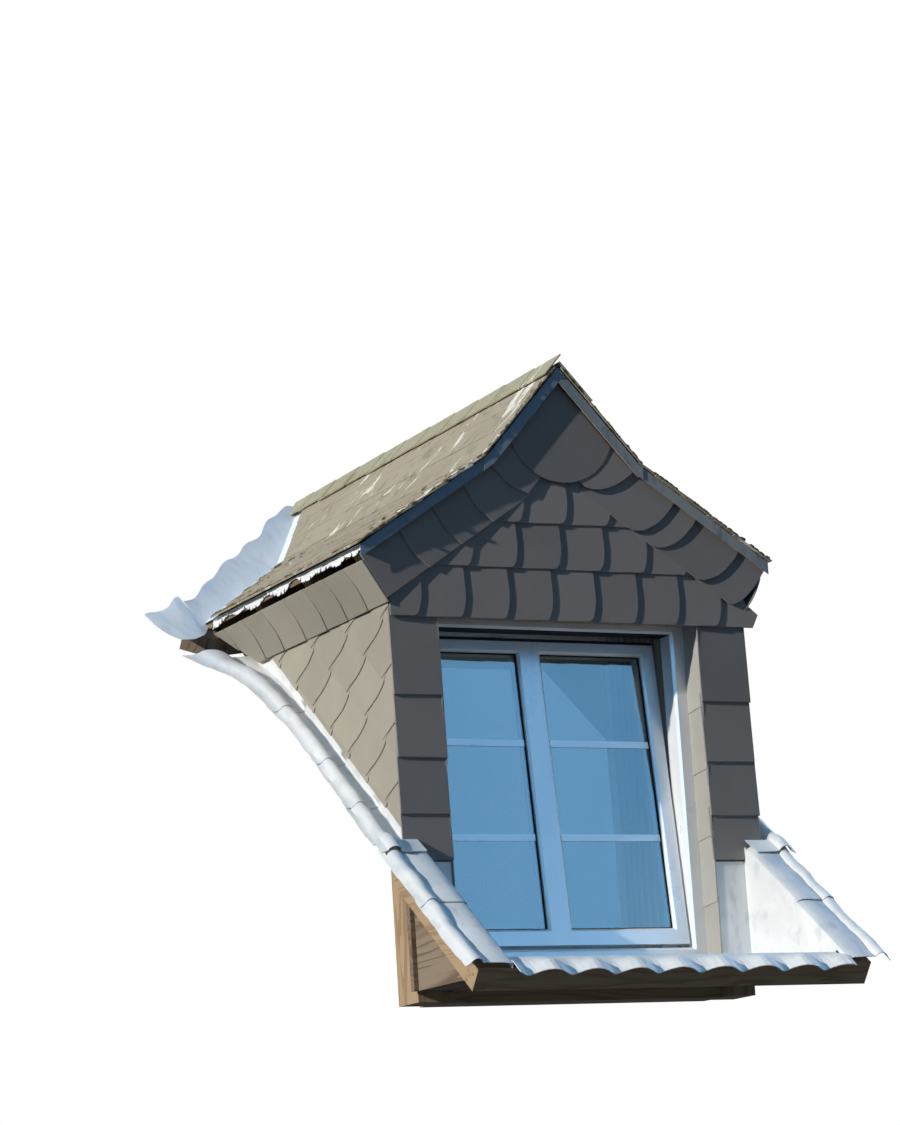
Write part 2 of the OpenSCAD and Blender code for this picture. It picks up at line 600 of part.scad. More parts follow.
module side_strips() color("gainsboro") place() both() difference() {
    on_deck() {
        s_end = bearer_top_s - front_bearer_w - 25;
        x0 = half_recess - fit;
        prof = band(concat([[x0, roof_build - 6], [x0, roof_build - 1], [x0 + 12, roof_build + 5],
            [half_wall + 36, roof_build + 3]],
            arc(half_wall + roll_out, roof_build - 6, lead_roll, 160, 20, 6),
            [[half_wall + flash_out - 10, roof_build - 12]]), sheet_t);
        translate([0, roof_build, 0]) rotate([90, 0, 0]) linear_extrude(roof_build - s_end) polygon(prof);
        translate([x0 - sheet_t, bearer_top_s + 2, roof_build - 40]) cube([sheet_t, far / 4, 40]);
    }
    translate([-far, -4, -far]) cube(2 * far);
}

module corner_leads() color("gainsboro") place() both() difference() {
    on_deck() translate([0, roof_build, 0]) rotate([90, 0, 0]) linear_extrude(2 * roof_build) polygon(band(concat(
        [[half_recess + 14, roof_build + 9], [half_wall + 30, roof_build + 9]],
        arc(half_wall + roll_out, roof_build + 8, lead_roll, 170, 10, 6),
        [[half_wall + flash_out - 4, roof_build + 3]]), sheet_t));
    translate([-far, -far - 46, -far]) cube([2 * far, far, 2 * far]);
    translate([-far, 22, -far]) cube([2 * far, far, 2 * far]);
    translate([-far, 3.5, -far]) cube([far + half_wall + 0.5, far, 2 * far]);
}

apron_step = 15;
function ease(t) = t * t * (3 - 2 * t);
function apron_n(x, t) = bearer_h + sheet_t + 2 * fit + ease(t) * (roof_build - bearer_h - roll_h / 2)
    + ease(min(1, 1.6 * t)) * roll_h / 2 * (1 + cos(360 * x / tile_roll + 40)) - 4 * t;
module apron() color("gainsboro") place() on_deck() {
    m = floor(2 * half_recess / (2 * apron_step)) * 2;
    hw = half_recess - sheet_t - 2 * fit - 1;
    k = 5;
    s0 = bearer_top_s - 2;
    top = [for (j = [0 : k]) for (i = [0 : m]) let (x = -hw + 2 * hw * i / m)
        [x, s0 - apron_len * j / k - (j == k ? 14 * cos(360 * x / tile_roll) : 0), apron_n(x, j / k)]];
    pts = concat(top, [for (p = top) p - [0, 0, sheet_t]]);
    w = m + 1;
    q = w * (k + 1);
    faces = concat(
        [for (j = [0 : k - 1]) for (i = [0 : m - 1]) each [
            [j * w + i, j * w + i + 1, (j + 1) * w + i + 1],
            [j * w + i, (j + 1) * w + i + 1, (j + 1) * w + i],
            [q + j * w + i, q + (j + 1) * w + i + 1, q + j * w + i + 1],
            [q + j * w + i, q + (j + 1) * w + i, q + (j + 1) * w + i + 1]]],
        [for (i = [0 : m - 1]) each [
            [i, q + i, q + i + 1], [i, q + i + 1, i + 1],
            [k * w + i, k * w + i + 1, q + k * w + i + 1], [k * w + i, q + k * w + i + 1, q + k * w + i]]],
        [for (j = [0 : k - 1]) each [
            [j * w, (j + 1) * w, q + (j + 1) * w], [j * w, q + (j + 1) * w, q + j * w],
            [j * w + m, q + j * w + m, q + (j + 1) * w + m], [j * w + m, q + (j + 1) * w + m, (j + 1) * w + m]]]);
    polyhedron(pts, faces);
}

module recess_lining() color("lightgray") place() {
    difference() {
        translate([-half_recess, -far / 4, shelf_z - sheet_t + fit])
            cube([2 * half_recess, far / 4 + slate_skin - 1, sheet_t - fit]);
        on_deck() translate([-far / 2, bearer_top_s + 1 - far, -far / 2]) cube([far, far, far]);
    }
    translate([-half_open, slate_skin - 2, shelf_z - sheet_t + fit])
        cube([2 * half_open, frame_y - slate_skin + 2 - fit, sheet_t - fit]);
    translate([-half_open, frame_y - sheet_t - fit, shelf_z - 1]) cube([2 * half_open, sheet_t, 60]);
    both() {
        difference() {
            translate([half_recess, -far / 4, shelf_z - sheet_t + fit])
                cube([sheet_t, far / 4 + slate_skin - sheet_t - 1, far / 2]);
            on_deck() translate([-far / 2, bearer_top_s + 1 - far, -far / 2]) cube([far, far, far]);
            on_deck() translate([-far / 2, -far / 2, roof_build - 4]) cube([far, far, far]);
            translate([0, bearer_end_y, -3]) cube([far, far, far]);
        }
        translate([half_open + slate_t + 1, slate_skin - sheet_t - fit, shelf_z - 1])
            cube([half_recess - half_open - slate_t - 1 + 1, sheet_t, shelf_drop - 5]);
    }
}

// Ring of four mitred members, w by h outside, with its face at y = 0
module ring(w, h, face, d) difference() {
    translate([-w / 2, 0, 0]) cube([w, d, h]);
    translate([-w / 2 + face, -1, face]) cube([w - 2 * face, d + 2, h - 2 * face]);
}
// Splayed cut round a rectangular light, wider by s at the face y = 0
module splay(x0, z0, w, h, s) polyhedron(
    [[x0 - s, -0.01, z0 - s], [x0 + w + s, -0.01, z0 - s], [x0 + w + s, -0.01, z0 + h + s], [x0 - s, -0.01, z0 + h + s],
        [x0, s, z0], [x0 + w, s, z0], [x0 + w, s, z0 + h], [x0, s, z0 + h]],
    [[3, 2, 1, 0], [4, 5, 6, 7], [1, 5, 4, 0], [2, 6, 5, 1], [3, 7, 6, 2], [0, 4, 7, 3]]);

module window_frame() color("white") place() translate([window_x, frame_y, frame_foot]) difference() {
    ring(2 * frame_half, frame_h, frame_face, frame_d);
    splay(-light_half, frame_face, 2 * light_half, light_top - light_foot, 8);
}

hinge_y = frame_y + frame_d;
module in_sash() place() translate([window_x, hinge_y, light_foot + sash_gap]) rotate([-tilt, 0, 0])
    translate([0, -frame_d, 0]) children();
glass_set = sash_set + 18;
module sash() color("white") in_sash() difference() {
    union() {
        translate([-sash_half, sash_set, 0]) cube([2 * sash_half, sash_d, sash_h]);
        translate([-sash_half - flange, frame_d + 3, -flange])
            cube([2 * (sash_half + flange), flange_t, sash_h + 2 * flange]);
    }
    for (s = [-1, 1]) translate([s * (mullion_w + pane_w) / 2 - pane_w / 2, 0, bottom_rail]) {
        translate([0, -1, 0]) cube([pane_w, 200, pane_h]);
        translate([-groove, glass_set - 2, -groove]) cube([pane_w + 2 * groove, glass_t + 4, pane_h + 2 * groove]);
        translate([0, sash_set, 0]) splay(0, 0, pane_w, pane_h, 7);
    }
}
module glass_panes() color("lightblue", 0.5) in_sash() for (s = [-1, 1])
    translate([s * (mullion_w + pane_w) / 2 - pane_w / 2 - groove + 2, glass_set, bottom_rail - groove + fit])
        cube([pane_w + 2 * groove - 4, glass_t, pane_h + 2 * groove - 2]);

// The stay runs from a pivot at the frame's left upper corner to the sash
stay_from = [window_x - light_half + 22, frame_y + 45];
stay_to = [window_x - light_half + 385, hinge_y - 44 + sash_h * sin(tilt)];
stay_w = 16;
stay_t = 3;
module tilt_stay() {
    z0 = light_top - fit - stay_t;
    place() translate([stay_from[0] - 14, stay_from[1] - 14, z0]) cube([40, 28, stay_t]);
    place() translate([stay_from[0], stay_from[1], z0 - stay_t + 0.5])
        rotate([0, 0, atan2(stay_to[1] - stay_from[1], stay_to[0] - stay_from[0])])
            translate([0, -stay_w / 2, 0]) cube([norm(stay_to - stay_from), stay_w, stay_t]);
    in_sash() translate([stay_to[0] - window_x - 25, sash_set + 2, sash_h + fit]) cube([50, 24, sash_gap - 1]);
}
module sash_hinges() for (s = [-1, 1]) {
    place() translate([window_x + s * (sash_half - 60) - 30, hinge_y - 26, light_foot + fit])
        cube([60, 22, sash_gap - 2]);
    in_sash() translate([s * (sash_half - 60) - 30, frame_d - 26, -4]) cube([60, 22, 4 - fit]);
}
module window_fittings() color("silver") {
    tilt_stay();
    sash_hinges();
}

module sash_handle() color("white") in_sash()
    translate([sash_half - stile_w / 2, frame_d + 3 + flange_t, sash_h / 2]) {
        translate([0, 10 + fit, 0]) rotate([90, 0, 0]) linear_extrude(10) intersection() {
            circle(r = 32, $fn = 48);
            square([30, 64], center = true);
        }
        translate([0, 44, 0]) rotate([90, 0, 0]) cylinder(h = 34, r = 9, $fn = 32);
        translate([-9, 36, -118]) cube([18, 12, 124]);
    }

front_bearer();
recess_bearers();
sole_plates();
corner_posts();
sill_beam();
head_beam();
top_plates();
wall_studs();
ridge_board();
rafters();
ceiling_joists();
valley_boards();
cheek_boards();
front_boards();
reveal_linings();
roof_boards_left();
roof_boards_right();
recess_boards();
inner_linings();
inner_sill();
cheek_slates_left();
cheek_slates_right();
gable_slates();
verge_slates();
pier_slates();
reveal_slates();
roof_slates_left();
roof_slates_right();
ridge_slates();
verge_trim_left();
verge_trim_right();
eaves_strips();
valley_left();
valley_right();
cheek_flashing_left();
cheek_flashing_right();
side_strips();
corner_leads();
apron();
recess_lining();
window_frame();
sash();
glass_panes();
window_fittings();
sash_handle();
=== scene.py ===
import json
import math
import random

import bpy
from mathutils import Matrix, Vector
from mathutils import noise as field


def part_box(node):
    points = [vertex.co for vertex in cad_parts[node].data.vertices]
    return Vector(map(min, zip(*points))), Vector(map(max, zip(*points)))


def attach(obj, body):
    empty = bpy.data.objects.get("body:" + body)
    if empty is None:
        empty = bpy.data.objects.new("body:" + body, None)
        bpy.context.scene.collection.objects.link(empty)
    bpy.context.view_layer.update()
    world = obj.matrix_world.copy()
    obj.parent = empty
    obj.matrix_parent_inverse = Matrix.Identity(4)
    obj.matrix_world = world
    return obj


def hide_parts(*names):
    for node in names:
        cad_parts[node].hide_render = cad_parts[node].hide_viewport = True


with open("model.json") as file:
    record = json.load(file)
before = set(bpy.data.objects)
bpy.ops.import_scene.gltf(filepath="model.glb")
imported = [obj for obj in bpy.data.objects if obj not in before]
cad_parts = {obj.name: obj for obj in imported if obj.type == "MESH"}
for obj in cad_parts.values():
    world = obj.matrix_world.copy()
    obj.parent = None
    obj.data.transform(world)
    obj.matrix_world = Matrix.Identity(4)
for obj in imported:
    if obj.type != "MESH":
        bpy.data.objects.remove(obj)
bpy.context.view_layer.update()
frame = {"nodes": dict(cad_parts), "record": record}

# Timber frame. Sawn softwood bearers, posts, plates, studs, rafters and joists, pegged and nailed
# together on the deck of the main roof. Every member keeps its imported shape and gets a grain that
# runs along it.


def start_group(name, inputs):
    """New shader node group with named inputs, that will put out a colour, a roughness and a height."""
    tree = bpy.data.node_groups.new(name, "ShaderNodeTree")
    for label, kind, value in inputs:
        socket = tree.interface.new_socket(name=label, in_out="INPUT", socket_type="NodeSocket" + kind)
        socket.default_value = value
    for label, kind in (("Color", "Color"), ("Roughness", "Float"), ("Height", "Float")):
        tree.interface.new_socket(name=label, in_out="OUTPUT", socket_type="NodeSocket" + kind)
    return tree, tree.nodes.new("NodeGroupInput").outputs


def close_group(tree, color, roughness, height):
    """Leads the results to the group's outputs."""
    out = tree.nodes.new("NodeGroupOutput")
    for label, value in (("Color", color), ("Roughness", roughness), ("Height", height)):
        tree.links.new(value, out.inputs[label])
    return tree


def add_node(tree, kind, inputs=None, **settings):
    """New shader node with its settings and its inputs, each a value or another node's output."""
    made = tree.nodes.new("ShaderNode" + kind)
    for key, value in settings.items():
        setattr(made, key, value)
    for key, value in (inputs or {}).items():
        if isinstance(value, bpy.types.NodeSocket):
            tree.links.new(value, made.inputs[key])
        else:
            made.inputs[key].default_value = value
    return made


def noise(tree, vector, scale, detail=4.0, roughness=0.55, distortion=0.0):
    made = add_node(tree, "TexNoise", {"Vector": vector, "Scale": scale, "Detail": detail,
                                       "Roughness": roughness, "Distortion": distortion})
    return made.outputs["Fac"]


def ramp(tree, value, low, high, to_low=0.0, to_high=1.0):
    """Smooth step of a value from low to high."""
    made = add_node(tree, "MapRange", {"Value": value, "From Min": low, "From Max": high,
                                       "To Min": to_low, "To Max": to_high},
                    interpolation_type="SMOOTHSTEP")
    return made.outputs["Result"]


def calc(tree, operation, a, b=0.0, clamp=False):
    made = add_node(tree, "Math", {0: a, 1: b}, operation=operation, use_clamp=clamp)
    return made.outputs[0]


def add_share(tree, a, b, share, clamp=False):
    """The value a with a share of b added."""
    return calc(tree, "ADD", a, calc(tree, "MULTIPLY", b, share), clamp)


def blend_colors(tree, share, a, b):
    return add_node(tree, "Mix", {0: share, 6: a, 7: b}, data_type="RGBA").outputs[2]


def scaled_object_coords(tree, scale):
    coords = add_node(tree, "TexCoord")
    made = add_node(tree, "VectorMath", {0: coords.outputs["Object"], 1: scale}, operation="MULTIPLY")
    return made.outputs["Vector"]


def surface(name, group, values, bump=0.3, bump_distance=0.002, **constants):
    """Material with one Principled shader fed by a group's colour, roughness and height."""
    material = bpy.data.materials.new(name)
    material.use_nodes = True
    tree = material.node_tree
    tree.nodes.clear()
    shader = add_node(tree, "BsdfPrincipled", {"Specular IOR Level": 0.05})
    for key, value in constants.items():
        shader.inputs[key.replace("_", " ")].default_value = value
    skin = tree.nodes.new("ShaderNodeGroup")
    skin.node_tree = group
    for key, value in values.items():
        skin.inputs[key].default_value = value
    relief = add_node(tree, "Bump", {"Strength": bump, "Distance": bump_distance,
                                     "Height": skin.outputs["Height"]})
    tree.links.new(skin.outputs["Color"], shader.inputs["Base Color"])
    tree.links.new(skin.outputs["Roughness"], shader.inputs["Roughness"])
    tree.links.new(relief.outputs["Normal"], shader.inputs["Normal"])
    out = tree.nodes.new("ShaderNodeOutputMaterial")
    tree.links.new(shader.outputs["BSDF"], out.inputs["Surface"])
    return material


def dress(material, *node_names):
    """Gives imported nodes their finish."""
    for node_name in node_names:
        slots = frame["nodes"][node_name].data.materials
        slots.clear()
        slots.append(material)


def build_wood_group():
    tree, given = start_group("sawn_wood", [
        ("Light", "Color", (0.6, 0.4, 0.2, 1)), ("Dark", "Color", (0.3, 0.2, 0.1, 1)),
        ("Stretch", "Vector", (1, 1, 1)), ("Tone", "Float", 0.5), ("Gloss", "Float", 0.6)])
    coords = scaled_object_coords(tree, given["Stretch"])
    figure = noise(tree, coords, 9.0, 3.0, 0.5, 0.6)
    rings = calc(tree, "FRACT", calc(tree, "MULTIPLY", figure, 9.0))
    late = ramp(tree, rings, 0.55, 0.95)
    fibre = noise(tree, coords, 120.0, 2.0)
    wood = blend_colors(tree, late, given["Light"], given["Dark"])
    wood = blend_colors(tree, calc(tree, "MULTIPLY", fibre, 0.35), wood, given["Dark"])
    tone = add_node(tree, "Attribute", attribute_name="tone").outputs["Fac"]
    wood = blend_colors(tree, calc(tree, "MULTIPLY", tone, given["Tone"]), wood, given["Dark"])
    return close_group(tree, wood, add_share(tree, given["Gloss"], fibre, 0.2),
                       add_share(tree, fibre, late, 0.4))


wood_group = build_wood_group()
grain = {"across": (0.08, 1, 1), "back": (1, 0.08, 1), "upright": (1, 1, 0.08)}
pine = {"Light": (0.46, 0.33, 0.20, 1), "Dark": (0.33, 0.22, 0.125, 1), "Tone": 0.0}
members = {
    "across": ("front_bearer", "sill_beam", "head_beam", "rafters", "ceiling_joists"),
    "back": ("recess_bearers", "sole_plates", "top_plates", "ridge_board"),
    "upright": ("corner_posts", "wall_studs", "reveal_linings"),
}
for run, member_names in members.items():
    dress(surface("timber_" + run, wood_group, {**pine, "Stretch": grain[run]}), *member_names)

# Roof boards. Rough spruce boards about 120 mm wide run from the verge back to the main roof on the
# rafters, nailed edge to edge, and are rebated along the verge for the fold of the trim. They are set
# out from the slate face of the front wall and the foot of its piers: x across, y back and z up.
sides = {-1: "left", 1: "right"}
face_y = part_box("gable_slates")[0].y
foot_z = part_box("pier_slates")[0].z
deck_axis = frame["record"]["mounts"][0]["axis"]
main_pitch = math.atan2(deck_axis[1], -deck_axis[2])


def on_wall(x, y, z):
    return Vector((x, face_y + y, foot_z + z))


def deck_z(y, n=0.0):
    """Height at y of the plane that lies n over the main roof's deck, on which the part stands."""
    return (face_y + y) * math.tan(main_pitch) + n / math.cos(main_pitch) - foot_z


def deck_y(z, n=0.0):
    """How far back that plane lies at the height z."""
    return (foot_z + z - n / math.cos(main_pitch)) / math.tan(main_pitch) - face_y


# The bell-cast roof line is the lower edge of the verge trim, moved out by d square to each slope
eaves_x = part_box("verge_trim_right")[1].x
eaves_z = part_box("verge_trim_right")[0].z - foot_z
flare_width = 0.500
flare_pitch = math.radians(33.5)
steep_pitch = math.radians(48.0)
break_x = eaves_x - flare_width
break_z = eaves_z + flare_width * math.tan(flare_pitch)
apex_z = break_z + break_x * math.tan(steep_pitch)


def break_at(d):
    return break_x + d * ((1 / math.cos(steep_pitch) - 1 / math.cos(flare_pitch))
                          / (math.tan(steep_pitch) - math.tan(flare_pitch)))


def roof_z(x, d=0.0):
    x = abs(x)
    if x > break_at(d):
        return break_z - (x - break_x) * math.tan(flare_pitch) + d / math.cos(flare_pitch)
    return apex_z - x * math.tan(steep_pitch) + d / math.cos(steep_pitch)


def on_slope(x0, z0, pitch, side, u, n):
    """Place (x, z) at u up a slope from (x0, z0) and n out from it, on one side of the roof."""
    return (side * (x0 - u * math.cos(pitch) + n * math.sin(pitch)),
            z0 + u * math.sin(pitch) + n * math.cos(pitch))


def rectangle(a0, b0, a1, b1):
    return [(a0, b0), (a1, b0), (a1, b1), (a0, b1)]


def clip(outline, a, b, c):
    """Part of an outline where a * x + b * y <= c."""
    kept = []
    for i, p in enumerate(outline):
        q = outline[i - 1]
        dp, dq = a * p[0] + b * p[1] - c, a * q[0] + b * q[1] - c
        if (dp <= 0) != (dq <= 0):
            t = dq / (dq - dp)
            kept.append((q[0] + (p[0] - q[0]) * t, q[1] + (p[1] - q[1]) * t))
        if dp <= 0:
            kept.append(p)
    return kept


def doubled_area(outline):
    """Twice the area of an outline, below zero where it runs clockwise."""
    return sum(p[0] * q[1] - q[0] * p[1] for p, q in zip([outline[-1], *outline], outline))


class Bundle:
    """Slates or boards gathered into one mesh, each a closed solid with a tone of its own."""

    def __init__(self, seed):
        self.verts, self.faces, self.tones = [], [], []
        self.rng = random.Random(seed)

    def add(self, verts, faces, tone=None):
        start = len(self.verts)
        self.verts += verts
        self.faces += [[start + i for i in face] for face in faces]
        tone = self.rng.random() if tone is None else tone
        self.tones += [tone] * len(faces)

    def plate(self, outline, place, thick, chip=0.0012, jitter=0.0008):
        """Thin solid over an outline of (a, b), its upper edge broken by chip.

        place(a, b, h) gives the point at height h. An outline that clipping has used up adds nothing."""
        if len(outline) < 3:
            return
        shift = self.rng.uniform
        outline = [(a + shift(-jitter, jitter), b + shift(-jitter, jitter)) for a, b in outline]
        count = len(outline)
        mid = (sum(p[0] for p in outline) / count, sum(p[1] for p in outline) / count)
        inner = []
        for a, b in outline:
            reach = math.hypot(a - mid[0], b - mid[1]) or 1.0
            inner.append((a + (mid[0] - a) * chip * 1.6 / reach, b + (mid[1] - b) * chip * 1.6 / reach))
        verts = [place(a, b, 0.0) for a, b in outline]
        verts += [place(a, b, thick - chip) for a, b in outline]
        verts += [place(a, b, thick) for a, b in inner]
        rings = [list(range(k * count, (k + 1) * count)) for k in range(3)]
        faces = [rings[0][::-1], rings[2]]
        for low, high in zip(rings, rings[1:]):
            faces += [[low[i - 1], low[i], high[i], high[i - 1]] for i in range(count)]
        across = place(mid[0] + 0.01, mid[1], 0.0) - place(*mid, 0.0)
        along = place(mid[0], mid[1] + 0.01, 0.0) - place(*mid, 0.0)
        out = place(*mid, 0.01) - place(*mid, 0.0)
        if doubled_area(outline) * across.cross(along).dot(out) < 0:
            faces = [face[::-1] for face in faces]
        self.add(verts, faces)

    def run(self, profile, front, back_n):
        """Length of an (x, z) profile from y = front back to n over the main roof's deck."""
        if doubled_area(profile) < 0:
            profile = profile[::-1]
        count = len(profile)
        verts = [on_wall(x, front, z) for x, z in profile]
        verts += [on_wall(x, deck_y(z, back_n), z) for x, z in profile]
        faces = [list(range(count)), list(range(2 * count - 1, count - 1, -1))]
        faces += [[(i + 1) % count, i, count + i, count + (i + 1) % count] for i in range(count)]
        self.add(verts, faces)

    def make(self, name, material, hides=(), smooth=False):
        """Mesh of the piece, riding on the part and standing for the nodes it hides."""
        mesh = bpy.data.meshes.new(name)
        mesh.from_pydata([tuple(v) for v in self.verts], [], self.faces)
        mesh.validate()
        layer = mesh.attributes.new("tone", "FLOAT", "FACE")
        layer.data.foreach_set("value", self.tones)
        if smooth:
            mesh.polygons.foreach_set("use_smooth", [True] * len(mesh.polygons))
            mesh.set_sharp_from_angle(angle=math.radians(38))
        mesh.update()
        piece = bpy.data.objects.new(name, mesh)
        bpy.context.scene.collection.objects.link(piece)
        mesh.materials.append(material)
        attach(piece, "root")
        if hides:
            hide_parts(*hides)
        return piece


grey_pine = {"Light": (0.30, 0.24, 0.17, 1), "Dark": (0.17, 0.12, 0.08, 1), "Tone": 0.45}
board_back = surface("boards_back", wood_group, {**grey_pine, "Stretch": grain["back"]})
dress(board_back, "valley_boards")
board_low = 0.010
board_thick = 0.024
board_joint = 0.0008
board_chip = 0.0006
slates_low = board_low + board_thick
valley_cut = 0.0776
verge_front = -0.030
fold_depth = 0.0033
fold_width = 0.0303
fold_gap = 0.0003
boards_x = eaves_x - 0.012
ridge_gap = 0.013
eaves_spare = 0.03
boards_break = break_at(board_low)
boarded = [(boards_x, flare_pitch, (boards_x - boards_break) / math.cos(flare_pitch), 5),
           (boards_break, steep_pitch, boards_break / math.cos(steep_pitch), 3)]
board_layers = [(0.0, board_thick - fold_depth, verge_front + fold_gap),
                (board_thick - fold_depth, board_thick, verge_front + fold_width)]
for side, side_name in sides.items():
    boards = Bundle(3 + side)
    for x0, pitch, length, count in boarded:
        for i in range(count):
            u0 = length * i / count + board_joint - (eaves_spare if i == 0 else 0.0)
            u1 = length * (i + 1) / count - board_joint
            if pitch == steep_pitch and i == count - 1:
                u1 -= ridge_gap
            for n0, n1, front in board_layers:
                profile = [on_slope(x0, roof_z(x0, board_low), pitch, side, u, n)
                           for u, n in rectangle(u0, n0, u1, n1)]
                if pitch == flare_pitch:
                    profile = clip(profile, side, 0.0, boards_x)
                boards.run(profile, front, valley_cut)
    boards.make("roof_boarding_" + side_name, board_back, ("roof_boards_" + side_name,))

# Wall and recess boards. The same spruce boards run level across the front wall and along the
# cheeks, and line the recess in front of the window below the metal.
half_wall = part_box("pier_slates")[1].x
slate_edge = 0.005
half_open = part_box("reveal_slates")[1].x - slate_edge
slate_skin = 0.013
board_out = half_wall - slate_skin
board_in = board_out - board_thick
board_pitch = 0.118
crease_n = 0.0743
splay_foot = eaves_z - 0.104
splay_top = (eaves_x - 0.018, eaves_z - 0.004)
opening_head = eaves_z - 0.166
cheek_front = 0.0373
cheek_back = 2.0
plate_n = 0.026
behind_soffit = 0.04

cheeks = Bundle(21)
for side in sides:
    z = deck_z(cheek_front, plate_n)
    while z < splay_foot + behind_soffit:
        outline = rectangle(cheek_front, z + board_joint, cheek_back, z + board_pitch - board_joint)
        outline = clip(outline, 0, 1, splay_foot + behind_soffit)
        outline = clip(outline, math.tan(main_pitch), -1.0, -deck_z(0, plate_n))
        cheeks.plate(outline, lambda a, b, h: on_wall(side * (board_in + h), a, b),
                     board_thick, board_chip, 0.0)
        z += board_pitch
    soffit = [(board_in, splay_foot + 0.040), (board_out, splay_foot + 0.006),
              (splay_top[0] - 0.010, splay_top[1] - 0.002), (splay_top[0] - 0.040, splay_top[1] - 0.002),
              (board_in, splay_foot + 0.050)]
    cheeks.run([(side * x, z) for x, z in soffit], 0.0, crease_n)
cheeks.make("cheek_boarding", board_back, ("cheek_boards",))


def on_front_boards(a, b, h):
    return on_wall(a, slate_skin + board_thick - h, b)


front_wall = Bundle(22)
gable_reach = 0.8
splay_rise = (splay_top[1] - splay_foot - 0.008) / (splay_top[0] - 0.010 - board_out)
z = opening_head
while z < apex_z:
    outline = rectangle(-gable_reach, z + board_joint, gable_reach, z + board_pitch - board_joint)
    for side in sides:
        for slope, x_at in ((flare_pitch, eaves_x), (steep_pitch, 0.0)):
            top = roof_z(x_at, board_low - 0.0003) + x_at * math.tan(slope)
            outline = clip(outline, side * math.tan(slope), 1.0, top)
        if z < splay_top[1]:
            outline = clip(outline, side * splay_rise, -1.0, splay_rise * board_out - splay_foot - 0.006)
        if z < splay_foot:
            below = z + board_pitch < splay_foot + 0.02
            outline = clip(outline, side, 0.0, board_out if below else splay_top[0])
    front_wall.plate(outline, on_front_boards, board_thick, board_chip, 0.0)
    z += board_pitch
shelf_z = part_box("recess_lining")[0].z - foot_z
for side in sides:
    x_in, x_out = half_open + 0.006, board_out
    for k in range(2):
        x0 = x_in + (x_out - x_in) * k / 2 + board_joint
        x1 = x_in + (x_out - x_in) * (k + 1) / 2 - board_joint
        front_wall.plate(rectangle(side * x0, shelf_z - board_thick, side * x1, opening_head - 0.0003),
                         on_front_boards, board_thick, board_chip, 0.0)
board_across = surface("boards_across", wood_group, {**grey_pine, "Stretch": grain["across"]})
front_wall.make("front_boarding", board_across, ("front_boards",))
dress(board_back, "recess_boards")

# Linings of the room side. Painted boards close the cheeks and the ceiling behind the window, and a
# white window board lies on the sill beam.


def build_paint_group():
    tree, given = start_group("brushed_paint", [
        ("Paint", "Color", (0.8, 0.8, 0.78, 1)), ("Grime", "Color", (0.45, 0.44, 0.4, 1)),
        ("Age", "Float", 0.2), ("Gloss", "Float", 0.35)])
    cloud = noise(tree, scaled_object_coords(tree, (1, 1, 1)), 3.5, 5.0, 0.6)
    strokes = noise(tree, scaled_object_coords(tree, (1, 1, 0.12)), 140.0, 2.0)
    dirt = calc(tree, "MULTIPLY", ramp(tree, cloud, 0.45, 0.8), given["Age"])
    return close_group(tree, blend_colors(tree, dirt, given["Paint"], given["Grime"]),
                       add_share(tree, given["Gloss"], cloud, 0.15), strokes)


paint_group = build_paint_group()
white_paint = surface("white_boards", paint_group, {"Paint": (0.80, 0.79, 0.75, 1), "Age": 0.25},
                      bump=0.12, bump_distance=0.001)
# The room-side linings get a dark grey-olive instead of white: painted shade, standing for the dim closed
# room behind the window.
room_shade_paint = surface("room_shade_paint", paint_group, {"Paint": (0.42, 0.41, 0.34, 1), "Age": 0.5},
                    bump=0.12, bump_distance=0.001)
dress(room_shade_paint, "inner_linings")
dress(white_paint, "inner_sill")

# Slates of the gable. Riven anthracite slates about 6 mm thick, each nailed to the boards and lapping
# the one to its right and the course below, so that its lower right corner shows as a round bow.
# Three level courses are closed by a course along each verge and a large round slate at the apex.


def build_slate_group():
    tree, given = start_group("riven_slate", [
        ("Base", "Color", (0.1, 0.1, 0.1, 1)), ("Second", "Color", (0.1, 0.1, 0.1, 1)),
        ("Dust", "Color", (0.3, 0.3, 0.3, 1)), ("Dusting", "Float", 0.2),
        ("Speck", "Color", (0.5, 0.5, 0.4, 1)), ("Specks", "Float", 0.0),
        ("Tone", "Float", 0.6), ("Gloss", "Float", 0.5)])
    coords = scaled_object_coords(tree, (1, 1, 1))
    cloud = noise(tree, coords, 5.0, 5.0, 0.6)
    riven = noise(tree, coords, 38.0, 6.0, 0.62, 0.8)
    fine = noise(tree, coords, 260.0, 3.0, 0.6)
    tone = add_node(tree, "Attribute", attribute_name="tone").outputs["Fac"]
    color = blend_colors(tree, calc(tree, "MULTIPLY", tone, given["Tone"]), given["Base"], given["Second"])
    dust = calc(tree, "MULTIPLY", ramp(tree, cloud, 0.35, 0.75), given["Dusting"])
    powder = calc(tree, "MULTIPLY", fine, calc(tree, "MULTIPLY", given["Dusting"], 0.5))
    color = blend_colors(tree, calc(tree, "ADD", dust, powder), color, given["Dust"])
    cells = add_node(tree, "TexVoronoi", {"Vector": coords, "Scale": 22.0, "Randomness": 1.0})
    near = add_share(tree, cells.outputs["Distance"], fine, 0.12)
    chosen = calc(tree, "LESS_THAN", cells.outputs["Color"], given["Specks"])
    speck = calc(tree, "MULTIPLY", calc(tree, "LESS_THAN", near, 0.13), chosen)
    color = blend_colors(tree, calc(tree, "MULTIPLY", speck, 0.8), color, given["Speck"])
    rough = add_share(tree, given["Gloss"], riven, 0.25)
    return close_group(tree, color, add_share(tree, rough, speck, 0.3, True),
                       add_share(tree, riven, fine, 0.25))


